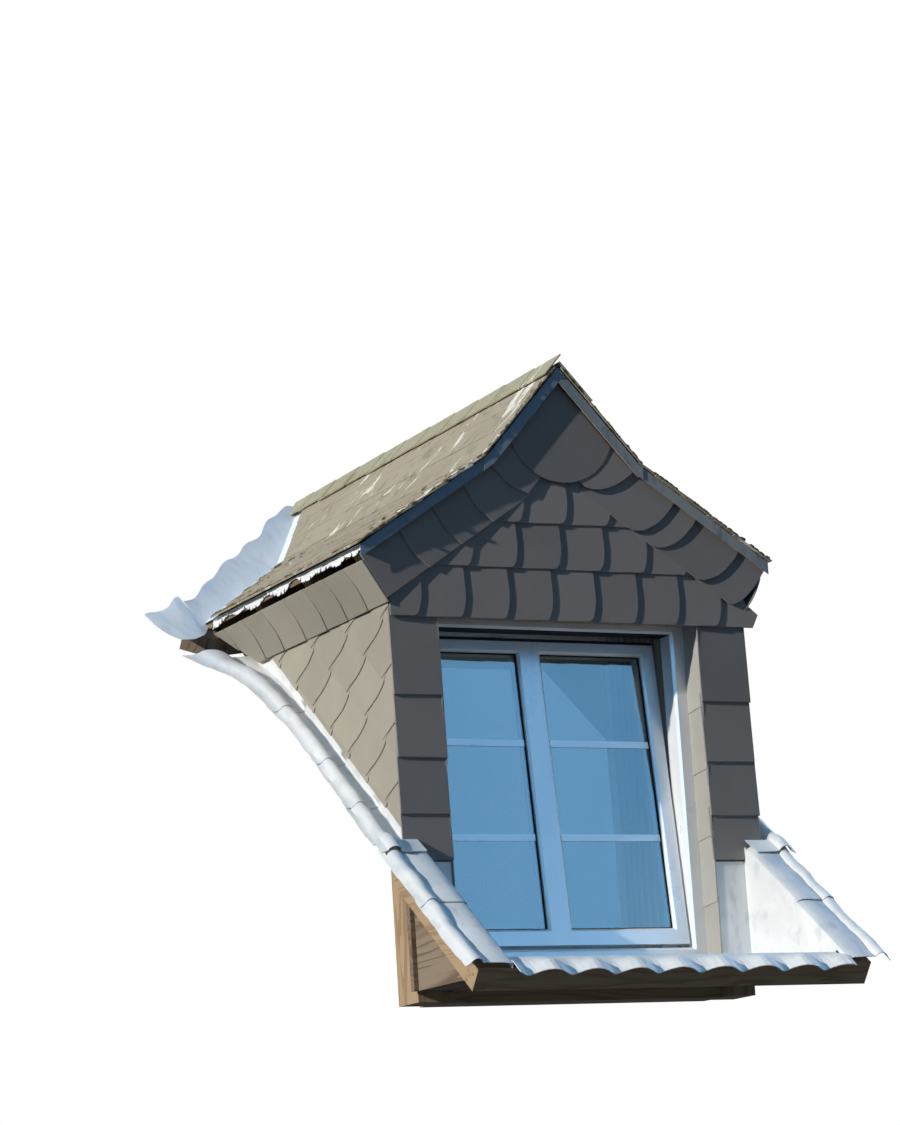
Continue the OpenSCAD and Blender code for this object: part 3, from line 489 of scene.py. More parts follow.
slate_group = build_slate_group()
front_slate = surface("front_slate", slate_group, {
    "Base": (0.222, 0.205, 0.200, 1), "Second": (0.288, 0.264, 0.249, 1), "Dust": (0.37, 0.35, 0.32, 1),
    "Dusting": 0.14, "Speck": (0.44, 0.43, 0.40, 1), "Specks": 0.05, "Tone": 0.85, "Gloss": 0.5},
    bump=0.35, bump_distance=0.0012, Specular_IOR_Level=0.02)
slate_thick = 0.006
slate_step = 0.0064
seat_y = 0.0105
slate_bow = 0.032
side_lap = 0.035
head_lap = 0.05


def steps(count, full=1.0):
    """Even steps from nothing to full, with both ends."""
    return [full * i / count for i in range(count + 1)]


def bow_slate(width, height):
    """Outline of a slate from its lower left corner, with the round bow at its right."""
    edge = [(width - slate_bow + slate_bow * math.sin(t), height * 0.55 * (1 - math.cos(t)))
            for t in steps(7, math.pi / 2)]
    return [(-side_lap, 0.0), *edge, (width - 0.006, height + head_lap), (-side_lap, height + head_lap)]


def front_place(left, low, width, height):
    """Places slate coordinates on the front wall: lifted at the bow and the butt, tucked elsewhere."""
    def place(a, b, h):
        lift = slate_step * (a / width + 1.0 - b / height)
        return on_wall(left + a, seat_y - lift - h, low + b)
    return place


course_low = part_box("gable_slates")[0].z - foot_z
first_course = 0.172
next_course = 0.154
low_width = 0.1605
verge_lap = 0.03
# The foot and height of each course, the place of one joint and the slates' width
gable_courses = [
    (course_low, first_course, 0.102, low_width),
    (course_low + first_course, next_course, -0.015, 0.163),
    (course_low + first_course + next_course, next_course, 0.020, 0.163),
]
gable = Bundle(11)
for low, height, joint, width in gable_courses:
    for k in range(-5, 5):
        right = joint + width * k
        left = right - width
        middle = (left + right) / 2
        if right > half_wall + 0.02:
            continue
        outline = [(left + a, low + b) for a, b in bow_slate(width, height)]
        slope = math.tan(flare_pitch if abs(middle) > break_x else steep_pitch)
        top = (eaves_z + eaves_x * slope if abs(middle) > break_x else apex_z) - verge_lap
        for side in sides:
            outline = clip(outline, side * slope, 1.0, top)
        outline = clip(outline, -1.0, 0.0, half_wall)
        local = [(x - left, z - low) for x, z in outline]
        gable.plate(local, front_place(left, low, width, height), slate_thick)
# The lowest course ends past the right corner as a drip, with its corner cut off
drip_left = 0.5835
drip_end = [(-0.035, 0.0), (0.117, 0.0), (0.141, 0.045), (0.094, 0.085), (0.086, 0.15), (-0.035, 0.15)]
gable.plate(drip_end, front_place(drip_left, course_low, low_width, first_course), slate_thick)

verge_band = 0.167
verge_seat = -0.0024
verge_tuck = 0.012
corner_cut = (0.84, -0.54)
right_joints = [0.150, 0.274, 0.423, 0.505, 0.663, 0.757]
left_joints = [(0.186, 0.097), (0.270, 0.175), (0.375, 0.281), (0.494, 0.409), (0.618, 0.544),
               (0.778, 0.640)]


def verge_slate(x0, x1, side, make_outline):
    """One slate of the verge course, between two places on the verge."""
    slope = flare_pitch if abs((x0 + x1) / 2) > break_x else steep_pitch
    down = Vector((side * math.cos(slope), -math.sin(slope)))
    inward = Vector((-side * math.sin(slope), -math.cos(slope)))
    start = Vector((side * x0, roof_z(x0) + verge_tuck))
    length = (Vector((side * x1, roof_z(x1) + verge_tuck)) - start).dot(down)
    step = slate_step * (1.3 if side == 1 else 0.8)

    def place(a, b, h):
        spot = start + down * a + inward * b
        return on_wall(spot.x, verge_seat - step * (a / length) - h, spot.y)
    outline = [start + down * a + inward * b for a, b in make_outline(length)]
    reach = corner_cut[0] * half_wall + corner_cut[1] * (splay_foot - 0.038)
    outline = clip([tuple(p) for p in outline], side * corner_cut[0], corner_cut[1], reach)
    local = [((Vector(p) - start).dot(down), (Vector(p) - start).dot(inward)) for p in outline]
    gable.plate(local, place, slate_thick - 0.001)


def bowed_end(length, bow):
    """Outline of a slate of the right verge, whose lower end is a quarter of an ellipse."""
    band = verge_band + 0.01
    return [(-0.13, 0.0), (-0.13, band)] + [
        (length - bow + bow * math.sin(t), band * math.cos(t)) for t in steps(9, math.pi / 2)]


def cut_end(length):
    """Outline of a slate of the left verge, whose lower end is cut nearly square."""
    return [(-0.12, 0.0), (length, 0.0), (length + 0.004, verge_band * 0.6),
            (length - 0.022, verge_band), (-0.12, verge_band)]


for i in range(1, len(right_joints)):
    end_bow = 0.098 if i < len(right_joints) - 1 else 0.055
    verge_slate(right_joints[i - 1], right_joints[i], 1, lambda length: bowed_end(length, end_bow))
for i in range(1, len(left_joints)):
    verge_slate(left_joints[i - 1][0], left_joints[i][0], -1, cut_end)

# The apex slate is round below and cut to the two slopes above
apex_mid = (0.005, 1.450)
apex_radius = 0.200
apex_over = 1.7
apex_stand = 0.0070
apex_slate = [(apex_mid[0] + apex_radius * math.cos(math.pi + t),
               apex_mid[1] + apex_radius * math.sin(math.pi + t)) for t in steps(26, math.pi)]
apex_slate = [(apex_mid[0] - apex_radius, apex_over), *apex_slate, (apex_mid[0] + apex_radius, apex_over)]
for side in sides:
    apex_slate = clip(apex_slate, side * math.tan(steep_pitch), 1.0, apex_z + 0.010)
gable.plate(apex_slate, lambda a, b, h: on_wall(a, verge_seat - apex_stand - h, b), slate_thick - 0.001)
gable.make("gable_slating", front_slate, ("gable_slates", "verge_slates"))

# Slates of the piers and reveals. Each pier is hung with four wide slates, one above the other, and
# narrow slates line the sides of the opening behind their edges.
piers = Bundle(31)
pier_joints = [0.0, 0.146, 0.327, 0.530, 0.812]
pier_seat = 0.0125
pier_lap = 0.03
pier_foot_cut = 0.108
for side, x_edge in ((-1, half_wall), (1, half_wall + 0.012)):
    for k in range(4):
        low, height = pier_joints[k], pier_joints[k + 1] - pier_joints[k]
        outline = rectangle(half_open - 0.003 + 0.003 * (k % 2), low,
                            x_edge + 0.002 * (k % 2), low + height + pier_lap)
        outline = clip(outline, 0.0, 1.0, pier_joints[-1])
        if k == 0:
            foot = [(half_wall - 0.052, 0.0), (x_edge, deck_z(0.0, pier_foot_cut))]
            outline = outline[:1] + foot + outline[2:]
        piers.plate([(side * x, z) for x, z in outline],
                    lambda a, b, h: on_wall(a, pier_seat - slate_step * (1.0 - (b - low) / height) - h, b),
                    slate_thick)
piers.make("pier_slating", front_slate, ("pier_slates",))

# The reveal slates are coloured pale and warm like the cheeks: partly weathering, partly painted sunlight on
# the reveal that faces the low sun.
reveal_slate = surface("reveal_slate", slate_group, {
    "Base": (0.350, 0.330, 0.290, 1), "Second": (0.410, 0.390, 0.340, 1), "Dust": (0.50, 0.48, 0.43, 1),
    "Dusting": 0.2, "Speck": (0.55, 0.54, 0.48, 1), "Specks": 0.03, "Tone": 0.8, "Gloss": 0.55},
    bump=0.3, bump_distance=0.0012, Specular_IOR_Level=0.03)
reveals = Bundle(32)
reveal_front = 0.004
reveal_back = 0.0955
reveal_lap = 0.02
reveal_seat = 0.0052
reveal_step = 0.003
reveal_thick = 0.0045
reveal_joints = [shelf_z + 0.043, -0.142, 0.076, 0.299, 0.509, opening_head]
for side in sides:
    for k in range(5):
        low, height = reveal_joints[k], reveal_joints[k + 1] - reveal_joints[k]
        skew = 0.006 if k else 0.0
        outline = [(reveal_front, low + skew), (reveal_back, low - skew),
                   (reveal_back, low + height + reveal_lap), (reveal_front, low + height + reveal_lap)]
        outline = clip(outline, 0.0, 1.0, opening_head - 0.0005)
        reveals.plate(outline, lambda a, b, h: on_wall(
            side * (half_open + reveal_seat - reveal_step * (1.0 - (b - low) / height) - h), a, b),
            reveal_thick)
reveals.make("reveal_slating", reveal_slate, ("reveal_slates",))

# Slates of the cheeks. A scale pattern of riven slates climbs along the slope of the roof, each slate
# showing a gently bowed lower edge over the next chain. The course under the eaves is splayed out
# to the soffit, standing over the field with its butts.
# The cheek slates are coloured lighter and warmer than the front slates: partly weathering, partly painted
# sunlight where the low sun falls on the cheeks head-on.
cheek_slate = surface("cheek_slate", slate_group, {
    "Base": (0.325, 0.295, 0.240, 1), "Second": (0.395, 0.358, 0.290, 1), "Dust": (0.46, 0.43, 0.36, 1),
    "Dusting": 0.25, "Speck": (0.5, 0.49, 0.44, 1), "Specks": 0.03, "Tone": 0.9, "Gloss": 0.55},
    bump=0.3, bump_distance=0.0012, Specular_IOR_Level=0.03)
chain_step = Vector((0.1415, -0.0960))
next_chain = Vector((-0.1270, -0.0990))
chain_turn = chain_step.cross(next_chain)
cusp = Vector((0.182, 0.709))
cheek_fronts = {-1: 0.0065, 1: 0.0135}
cheek_foot_n = 0.138
cheek_seat = board_out + 0.0040
scale_step = 0.0045
scale_thick = 0.005
scale_bow = [(t, -0.105 * math.sin(math.pi * t ** 0.85)) for t in steps(8)]
scale_shape = scale_bow + [(1.18, 0.02), (1.18, 1.22), (0.0, 1.22)]


def cheek_scale(bundle, side, corner):
    """One scale whose bowed edge runs from corner along the chain; p along the chain, q up from it."""
    outline = [tuple(corner + chain_step * p - next_chain * q) for p, q in scale_shape]
    outline = clip(outline, -1.0, 0.0, -cheek_fronts[side])
    outline = clip(outline, 0.0, 1.0, splay_foot + 0.004)
    outline = clip(outline, math.tan(main_pitch), -1.0, -deck_z(0, cheek_foot_n))

    def place(a, b, h):
        away = Vector((a, b)) - corner
        p, q = away.cross(next_chain) / chain_turn, away.cross(chain_step) / chain_turn
        lift = scale_step * (1.0 - min(q, 1.2) + 0.6 * p)
        return on_wall(side * (cheek_seat + lift + h), a, b)
    bundle.plate(outline, place, scale_thick)


soffit_low = (half_wall + 0.0065, 0.828)
soffit_high = (splay_top[0] + 0.0045, eaves_z - 0.0045)
soffit_length = math.hypot(soffit_high[0] - soffit_low[0], soffit_high[1] - soffit_low[1])
soffit_up = [(high - low) / soffit_length for low, high in zip(soffit_low, soffit_high)]
soffit_joints = [-0.012, 0.141, 0.297, 0.457, 0.626, 0.806, 0.965, 1.125, 1.29]
soffit_bow = 0.020
soffit_lap = 0.03


def soffit_slate(bundle, side, near, far):
    """One slate of the splayed course, from its bowed front edge back under the next one."""
    width = far - near
    bow = soffit_bow if near > 0 else 0.0
    edge = [(near - bow * math.sin(math.pi * t), soffit_length * t) for t in steps(8)]
    outline = edge + [(far + soffit_lap, soffit_length), (far + soffit_lap, 0.0)]

    def place(a, b, h):
        out = h - scale_thick + scale_step * (1.0 - (a - near) / width)
        return on_wall(side * (soffit_low[0] + b * soffit_up[0] + out * soffit_up[1]), a,
                       soffit_low[1] + b * soffit_up[1] - out * soffit_up[0])
    reach = deck_y(soffit_low[1], valley_cut + 0.004)
    outline = clip(outline, 1.0, -soffit_up[1] / math.tan(main_pitch), reach)
    bundle.plate(outline, place, scale_thick)


for side, side_name in sides.items():
    cheek = Bundle(40 + side)
    for chain in range(-9, 7):
        for k in range(-9, 9):
            cheek_scale(cheek, side, cusp + next_chain * chain + chain_step * k)
    for near, far in zip(soffit_joints, soffit_joints[1:]):
        soffit_slate(cheek, side, 0.004 if side == 1 and near < 0 else near, far)
    cheek.make("cheek_slating_" + side_name, cheek_slate, ("cheek_slates_" + side_name,))

# Slates of the roof. Weathered slates in level courses of about 118 mm, nailed to the boards, five
# courses on the flare and three on the steep part, cut off along the valley. Their ends stand over
# the verge trim, and lichen has spread over them in pale streaks down the slope.


def build_roof_slate_group():
    tree, given = start_group("weathered_slate", [
        ("Base", "Color", (0.3, 0.3, 0.3, 1)), ("Second", "Color", (0.2, 0.2, 0.2, 1)),
        ("Crust", "Color", (0.8, 0.78, 0.7, 1)), ("Streaks", "Float", 0.5),
        ("Earth", "Color", (0.16, 0.12, 0.07, 1)), ("Earthy", "Float", 0.3)])
    coords = scaled_object_coords(tree, (1, 1, 1))
    cloud = noise(tree, coords, 6.0, 5.0, 0.6)
    grit = noise(tree, coords, 90.0, 6.0, 0.65)
    tone = add_node(tree, "Attribute", attribute_name="tone").outputs["Fac"]
    mottle = add_share(tree, calc(tree, "MULTIPLY", tone, 0.45), cloud, 0.6, True)
    color = blend_colors(tree, mottle, given["Base"], given["Second"])
    color = blend_colors(tree, ramp(tree, grit, 0.45, 0.8, 0.0, 0.5), color, given["Second"])
    earth = ramp(tree, noise(tree, coords, 14.0, 6.0, 0.7, 0.5), 0.52, 0.66)
    color = blend_colors(tree, calc(tree, "MULTIPLY", earth, given["Earthy"]), color, given["Earth"])
    streak = noise(tree, scaled_object_coords(tree, (0.5, 1.2, 0.5)), 7.5, 4.0, 0.6, 0.6)
    streak = add_share(tree, add_share(tree, streak, cloud, 0.12), grit, 0.06)
    place = add_node(tree, "SeparateXYZ", {0: coords})
    near_verge = ramp(tree, place.outputs["Y"], 0.42, 0.92, 0.085, 0.0)
    edge = calc(tree, "SUBTRACT", 0.845, calc(tree, "MULTIPLY", given["Streaks"], 0.12))
    crust = calc(tree, "GREATER_THAN", streak, calc(tree, "SUBTRACT", edge, near_verge))
    color = blend_colors(tree, calc(tree, "MULTIPLY", crust, 0.9), color, given["Crust"])
    return close_group(tree, color, ramp(tree, grit, 0.2, 0.9, 0.7, 0.95), add_share(tree, grit, crust, 0.5))


roof_slate_group = build_roof_slate_group()
roof_slate = surface("roof_slate", roof_slate_group, {
    "Base": (0.455, 0.40, 0.30, 1), "Second": (0.36, 0.312, 0.23, 1), "Crust": (0.80, 0.78, 0.69, 1),
    "Streaks": 1.0, "Earth": (0.17, 0.125, 0.075, 1), "Earthy": 0.5},
    bump=0.6, bump_distance=0.003, Specular_IOR_Level=0.02)
roof_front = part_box("roof_slates_left")[0].y - face_y
valley_flange = 0.084
roof_seat = 0.0080
roof_step = 0.005
roof_slate_thick = 0.0055
low_break = break_at(slates_low)
flare_length = (eaves_x - low_break) / math.cos(flare_pitch)
steep_length = low_break / math.cos(steep_pitch) - 0.010
slated = [(eaves_x, flare_pitch, flare_length, 5), (low_break, steep_pitch, steep_length, 3)]


def roof_slates(bundle, side, x0, pitch, length, count):
    """Courses of slates on one slope, from its foot at x0 up."""
    rng = bundle.rng
    course = length / count
    z0 = roof_z(x0, slates_low)
    # The slates of the steep part lie closer and more even than those of the flare
    worn, head = (1.0, 0.045) if pitch == flare_pitch else (0.3, 0.003)
    for i in range(count):
        low = course * i - (0.004 if i == 0 else 0.0)
        high = low + course + (head if i < count - 1 else 0.003)
        y = roof_front - rng.uniform(0.02, 0.12)
        while y < deck_y(z0 + (low + course) * math.sin(pitch), valley_cut):
            width = rng.uniform(0.15, 0.25)
            drop = rng.uniform(-0.004, 0.004) * worn if i else rng.uniform(-0.006, 0.002)
            ragged = [(y + width * t, low + drop + rng.uniform(-0.002, 0.002) * worn)
                      for t in (0.0, 0.2, 0.4, 0.6, 0.8, 1.0)]
            outline = ragged + [(y + width, high), (y, high)]
            outline = clip(outline, -1.0, 0.0, -(roof_front + rng.uniform(-0.004, 0.003)))
            outline = clip(outline, 1.0, -math.sin(pitch) / math.tan(main_pitch),
                           deck_y(z0, valley_cut) - valley_flange - rng.uniform(-0.006, 0.010))
            lean = rng.uniform(-0.0008, 0.0012) * worn
            middle = y + width / 2

            def place(a, b, h):
                tuck = roof_step * worn * (b - low) / course
                out = roof_seat - tuck + lean * (a - middle) / width + h
                x, z = on_slope(x0, z0, pitch, side, b, out)
                return on_wall(x, a, z)
            if len(outline) > 2:
                spare = 0.0007 * worn
                bundle.plate(outline, place, rng.uniform(roof_slate_thick - spare, roof_slate_thick + spare),
                             0.0004 + 0.0010 * worn, 0.0012 * worn)
            y += width + 0.002 * worn


for side, side_name in sides.items():
    covering = Bundle(50 + side)
    for slope in slated:
        roof_slates(covering, side, *slope)
    covering.make("roof_slating_" + side_name, roof_slate, ("roof_slates_" + side_name,))

# Ridge. Two rows of slates about 200 mm long lap each other away from the weather, the left row
# standing a little over the right one.
ridge_slate = surface("ridge_slate", roof_slate_group, {
    "Base": (0.46, 0.43, 0.31, 1), "Second": (0.38, 0.345, 0.235, 1), "Crust": (0.72, 0.70, 0.56, 1),
    "Streaks": 0.6, "Earth": (0.22, 0.19, 0.095, 1), "Earthy": 0.5},
    bump=0.6, bump_distance=0.003, Specular_IOR_Level=0.02)
# How far each row reaches down, how far it stands over the other side, and how low its top lies
ridge_rows = {1: (0.115, 0.0, 0.006), -1: (0.048, 0.018, 0.0)}
ridge_low = slates_low + slate_skin + 0.0005
ridge_end = deck_y(roof_z(0, ridge_low + 0.005), valley_cut)
ridge_seat = 0.0030
ridge_step = 0.0025
ridge_thick = 0.0052
ridge = Bundle(61)
for side, (row_width, over, sunk) in ridge_rows.items():
    y = roof_front - 0.001
    while y < ridge_end - 0.02:
        width = ridge.rng.uniform(0.17, 0.22)
        reach = (row_width + ridge.rng.uniform(-0.004, 0.004)) / math.cos(steep_pitch)
        outline = clip(rectangle(y, 0.0, y + width + 0.03, reach), 1.0,
                       math.sin(steep_pitch) / math.tan(main_pitch), ridge_end + 0.012)

        def place(a, b, h):
            out = h + ridge_step * (1.0 - (a - y) / width) + ridge_seat
            up = over / math.cos(steep_pitch) - b if b < 0.01 else -b
            x, z = on_slope(0.0, roof_z(0, ridge_low), steep_pitch, side, up, out)
            return on_wall(x, a, z - sunk)
        ridge.plate(outline, place, ridge_thick, 0.0010)
        y += width
ridge.make("ridge_slating", ridge_slate, ("ridge_slates",))

# Moss. Cushions of dry moss and grit have grown on the slates along the verges and eaves, and on the
# butts of the flare where the valley keeps them damp.
dry_moss = surface("dry_moss", roof_slate_group, {
    "Base": (0.17, 0.125, 0.075, 1), "Second": (0.10, 0.085, 0.040, 1), "Crust": (0.60, 0.56, 0.44, 1),
    "Streaks": 0.1, "Earth": (0.07, 0.055, 0.025, 1), "Earthy": 0.6},
    bump=0.9, bump_distance=0.004, Specular_IOR_Level=0.02)
cushion_rings = [(-0.2, 0.9), (0.35, 1.0), (0.75, 0.62), (1.0, 0.05)]


def moss_lump(bundle, side, x, y, size, along, up):
    """Low cushion of moss on the slates, stretched along the course and up the slope."""
    pitch = flare_pitch if x > low_break else steep_pitch
    base = roof_z(x, slates_low + 0.009)
    verts = []
    for rise, reach in cushion_rings:
        for k in range(8 if rise < 1.0 else 1):
            turn = 2 * math.pi * k / 8
            grow = size * bundle.rng.uniform(0.72, 1.28)
            place_x, place_z = on_slope(x, base, pitch, side, reach * math.sin(turn) * grow * up,
                                        rise * grow * 0.75)
            verts.append(on_wall(place_x, y + reach * math.cos(turn) * grow * along, place_z))
    faces = [list(range(8))[::-1]]
    for k in range(8):
        after = (k + 1) % 8
        faces += [[k, after, 8 + after, 8 + k], [8 + k, 8 + after, 16 + after, 16 + k]]
        faces.append([16 + k, 16 + after, 24])
    bundle.add(verts, faces if side == 1 else [face[::-1] for face in faces])


moss = Bundle(63)
spread = moss.rng
damp_courses = (0, 1, 1, 2, 2, 3, 4)
for side in sides:
    for _ in range(190):
        x = spread.uniform(0.02, eaves_x - 0.006)
        if field.noise(Vector((x * 14, 3, side))) > -0.2:
            moss_lump(moss, side, x, roof_front + 0.002 + abs(spread.gauss(0, 0.008)),
                      spread.uniform(0.003, 0.009), 1.0, spread.uniform(1.0, 2.0))
    for _ in range(150):
        y = spread.uniform(roof_front, deck_y(eaves_z, valley_cut) - 0.03)
        if field.noise(Vector((y * 11, 5, side))) > -0.2:
            moss_lump(moss, side, eaves_x - 0.003 - abs(spread.gauss(0, 0.007)), y,
                      spread.uniform(0.004, 0.011), spread.uniform(1.0, 2.0), 1.0)
    for _ in range(170):
        butt = eaves_x - flare_length * math.cos(flare_pitch) * spread.choice(damp_courses) / 5
        far = deck_y(roof_z(butt, slates_low), valley_cut) - valley_flange - 0.012
        by_valley = spread.random() < 0.7
        y = far - abs(spread.gauss(0, 0.13)) if by_valley else roof_front + abs(spread.gauss(0, 0.12))
        if roof_front < y < far:
            moss_lump(moss, side, butt - spread.uniform(-0.001, 0.006), y, spread.uniform(0.003, 0.010),
                      spread.uniform(1.2, 2.4), 1.0)
moss.make("roof_moss", dry_moss)

# Verge trims, eaves strips and valleys. Folded galvanised sheet closes the verge in two laps a side.
# The old strip below the eaves is thin and torn, and the valley sheets are dressed up under the tile
# ends in scallops, with a round tongue at the foot.


def build_sheet_group():
    tree, given = start_group("weathered_sheet", [
        ("Base", "Color", (0.5, 0.5, 0.5, 1)), ("Stain", "Color", (0.3, 0.3, 0.3, 1)),
        ("Bloom", "Color", (0.7, 0.7, 0.7, 1)), ("Staining", "Float", 0.3), ("Gloss", "Float", 0.4)])
    coords = scaled_object_coords(tree, (1, 1, 1))
    cloud = noise(tree, coords, 4.0, 6.0, 0.62, 0.4)
    runs = noise(tree, scaled_object_coords(tree, (1, 0.35, 0.35)), 30.0, 5.0, 0.6)
    fine = noise(tree, coords, 180.0, 3.0)
    color = blend_colors(tree, ramp(tree, cloud, 0.42, 0.68), given["Base"], given["Bloom"])
    stain = calc(tree, "MULTIPLY", ramp(tree, runs, 0.50, 0.72), given["Staining"])
    color = blend_colors(tree, stain, color, given["Stain"])
    rough = add_share(tree, given["Gloss"], cloud, 0.25)
    return close_group(tree, color, add_share(tree, rough, fine, 0.08, True),
                       add_share(tree, calc(tree, "MULTIPLY", cloud, 0.6), runs, 0.3))


sheet_group = build_sheet_group()
# The two verge trims are one galvanised sheet in two colours: the left one darker and bluer as painted shade
# with a painted reflection of blue sky, the right one its lit copy.
shaded_trim_metal = surface("shaded_galvanised_trim", sheet_group, {
    "Base": (0.19, 0.24, 0.29, 1), "Bloom": (0.25, 0.29, 0.325, 1), "Stain": (0.11, 0.12, 0.12, 1),
    "Staining": 0.6, "Gloss": 0.45}, bump=0.35, bump_distance=0.002, Specular_IOR_Level=0.07)
lit_galvanised_trim = surface("lit_galvanised_trim", sheet_group, {
    "Base": (0.27, 0.295, 0.30, 1), "Bloom": (0.36, 0.37, 0.36, 1), "Stain": (0.15, 0.155, 0.15, 1),
    "Staining": 0.6, "Gloss": 0.5}, bump=0.35, bump_distance=0.002, Specular_IOR_Level=0.07)
valley_metal = surface("valley_zinc", sheet_group, {
    "Base": (0.80, 0.80, 0.79, 1), "Bloom": (0.86, 0.86, 0.84, 1), "Stain": (0.56, 0.56, 0.55, 1),
    "Staining": 0.3, "Gloss": 0.42}, bump=0.3, bump_distance=0.003, Specular_IOR_Level=0.4)
dress(shaded_trim_metal, "verge_trim_left")
dress(lit_galvanised_trim, "verge_trim_right")


def sheet_mesh(rows, thick):
    """Closed thin solid below a grid of points; the thickness goes down along the grid's normals."""
    last_u, last_v = len(rows) - 1, len(rows[0]) - 1
    top = [p for row in rows for p in row]
    verts = list(top)
    for i, row in enumerate(rows):
        for j, point in enumerate(row):
            du = rows[min(i + 1, last_u)][j] - rows[max(i - 1, 0)][j]
            dv = row[min(j + 1, last_v)] - row[max(j - 1, 0)]
            verts.append(point - du.cross(dv).normalized() * thick)

    def at(i, j):
        return i * (last_v + 1) + j
    faces = []
    for i in range(last_u):
        for j in range(last_v):
            quad = [at(i, j), at(i + 1, j), at(i + 1, j + 1), at(i, j + 1)]
            faces += [quad, [len(top) + k for k in quad[::-1]]]
    rim = [at(i, 0) for i in range(last_u + 1)] + [at(last_u, j) for j in range(1, last_v + 1)]
    rim += [at(i, last_v) for i in range(last_u - 1, -1, -1)] + [at(0, j) for j in range(last_v - 1, 0, -1)]
    for a, b in zip(rim, rim[1:] + rim[:1]):
        faces.append([b, a, len(top) + a, len(top) + b])
    return verts, faces


def dent(point, scale, depth):
    return depth * field.noise(Vector(point) * scale)


strip_top = roof_z(boards_x, slates_low) - 0.001
strip_end = deck_y(strip_top - 0.03, 0.100)
strip_hang = 0.034
strip_stub = 0.029
strip_thick = 0.0012
for side, side_name in sides.items():
    edging = Bundle(70 + side)
    rows = []
    for back in steps(260, strip_end - verge_front):
        y = verge_front + 0.001 + back
        tear = max(0.0, field.noise(Vector((y * 9, 7, side))) + 0.22) * 0.042
        tear += max(0.0, field.noise(Vector((y * 75, 5, side)))) * 0.030
        hang = strip_hang - min(tear, strip_stub) + 0.002 * field.noise(Vector((y * 6, 3 * side, 0)))
        wave = 0.0025 * (1.0 + field.noise(Vector((y * 11, 11, side))))
        rows.append([on_wall(side * (boards_x + 0.0022 + x), y, strip_top - z) for x, z in (
            (0.0, 0.0), (0.0, hang * 0.5), (wave * 0.5, hang), (wave + 0.003, hang + 0.003))])
    if side == 1:
        rows = [row[::-1] for row in rows]
    edging.add(*sheet_mesh(rows, strip_thick))
    edging.make("eaves_strip_" + side_name, valley_metal,
                ("eaves_strips",) if side == -1 else (), smooth=True)


def through(points, t):
    """Place at t (0 to 1) on the smooth curve through rows of numbers, evenly spaced in t."""
    spot = min(t * (len(points) - 1), len(points) - 1.001)
    k = int(spot)
    f = spot - k
    before, after = points[max(k - 1, 0)], points[min(k + 2, len(points) - 1)]
    return [0.5 * (2 * b + (c - a) * f + (2 * a - 5 * b + 4 * c - d) * f * f
                   + (3 * b - a - 3 * c + d) * f ** 3)
            for a, b, c, d in zip(before, points[k], points[k + 1], after)]


def valley_line(x):
    """Where the slates are cut off, y at x from the middle."""
    return deck_y(roof_z(x, slates_low), crease_n)


# The tongue: x, y and height over the deck at its inner edge, then the same at its outer edge
tongue = [(0.987, 1.250, 0.103, 0.989, 1.262, 0.100), (0.969, 1.166, 0.105, 0.966, 1.279, 0.097),
          (0.925, 1.112, 0.105, 0.925, 1.298, 0.094), (0.862, 1.122, 0.102, 0.880, 1.326, 0.092),
          (0.806, 1.165, 0.094, 0.838, 1.362, 0.090), (0.768, 1.225, 0.082, 0.800, 1.388, 0.090)]
# The sheet from the crease to its edge under the tile ends: x inside and how far the edge lies behind
valley_widths = [(0.720, 0.112), (0.620, 0.118), (0.510, 0.140), (0.410, 0.150), (0.310, 0.155),
                 (0.210, 0.150), (0.110, 0.125), (0.040, 0.090)]
valley_lean = 0.062
sheet_low = 0.0766
sheet_edge = 0.090
valley_rows = tongue + [
    (x, valley_line(x) - 0.020, sheet_low, x + valley_lean, valley_line(x + valley_lean) + width, sheet_edge)
    for x, width in valley_widths]
valley_rows.append((0.002, valley_line(0) - 0.020, sheet_low, 0.010, valley_line(0) + 0.020, 0.080))
tile_roll = 0.150
valley_thick = 0.0010


def valley_sheet(side):
    """Grid of the valley sheet on the main roof, from the tongue to the ridge."""
    rows = []
    for i, t in enumerate(steps(200)):
        x_in, y_in, n_in, x_out, y_out, n_out = through(valley_rows, t)
        row = []
        for w in steps(18):
            x = x_in + (x_out - x_in) * w
            y = y_in + (y_out - y_in) * w
            roll = 0.5 - 0.5 * math.cos(2 * math.pi * (x / tile_roll - 0.13 * side))
            lip = max(0.0, (w - 0.55) / 0.45) ** 2 * min(1.0, max(0.0, i - 36) / 20)
            high = n_in + (n_out - n_in) * w * w + 0.010 * roll * lip
            high += dent((x, y, side), 9.0, 0.005) * min(1.0, 2 * w) + dent((x, y, 3 + side), 26.0, 0.0015)
            row.append(on_wall(side * x, y + 0.012 * roll * lip, deck_z(y, max(0.0760, high))))
        rows.append(row)
    return rows


def valley_flange_rows(side):
    """Grid of the sheet's flange, which goes up the dormer's own roof below the slates."""
    rows = []
    for t in steps(120):
        x = (boards_x + 0.010) * (1.0 - t) + 0.002
        line = valley_line(x) + 0.002
        row = []
        for across in (0.125, 0.095, 0.065, 0.035, 0.012, 0.0):
            seat = slates_low + 0.0012 + dent((x, across, side), 20.0, 0.001)
            row.append(on_wall(side * x, line - across, roof_z(x, seat)))
        rows.append(row)
    return rows


for side, side_name in sides.items():
    valley = Bundle(80 + side)
    for rows in (valley_sheet(side), valley_flange_rows(side)):
        if side == -1:
            rows = [row[::-1] for row in rows]
        valley.add(*sheet_mesh(rows, valley_thick), 0.5)
    valley.make("valley_sheet_" + side_name, valley_metal, ("valley_" + side_name,), smooth=True)

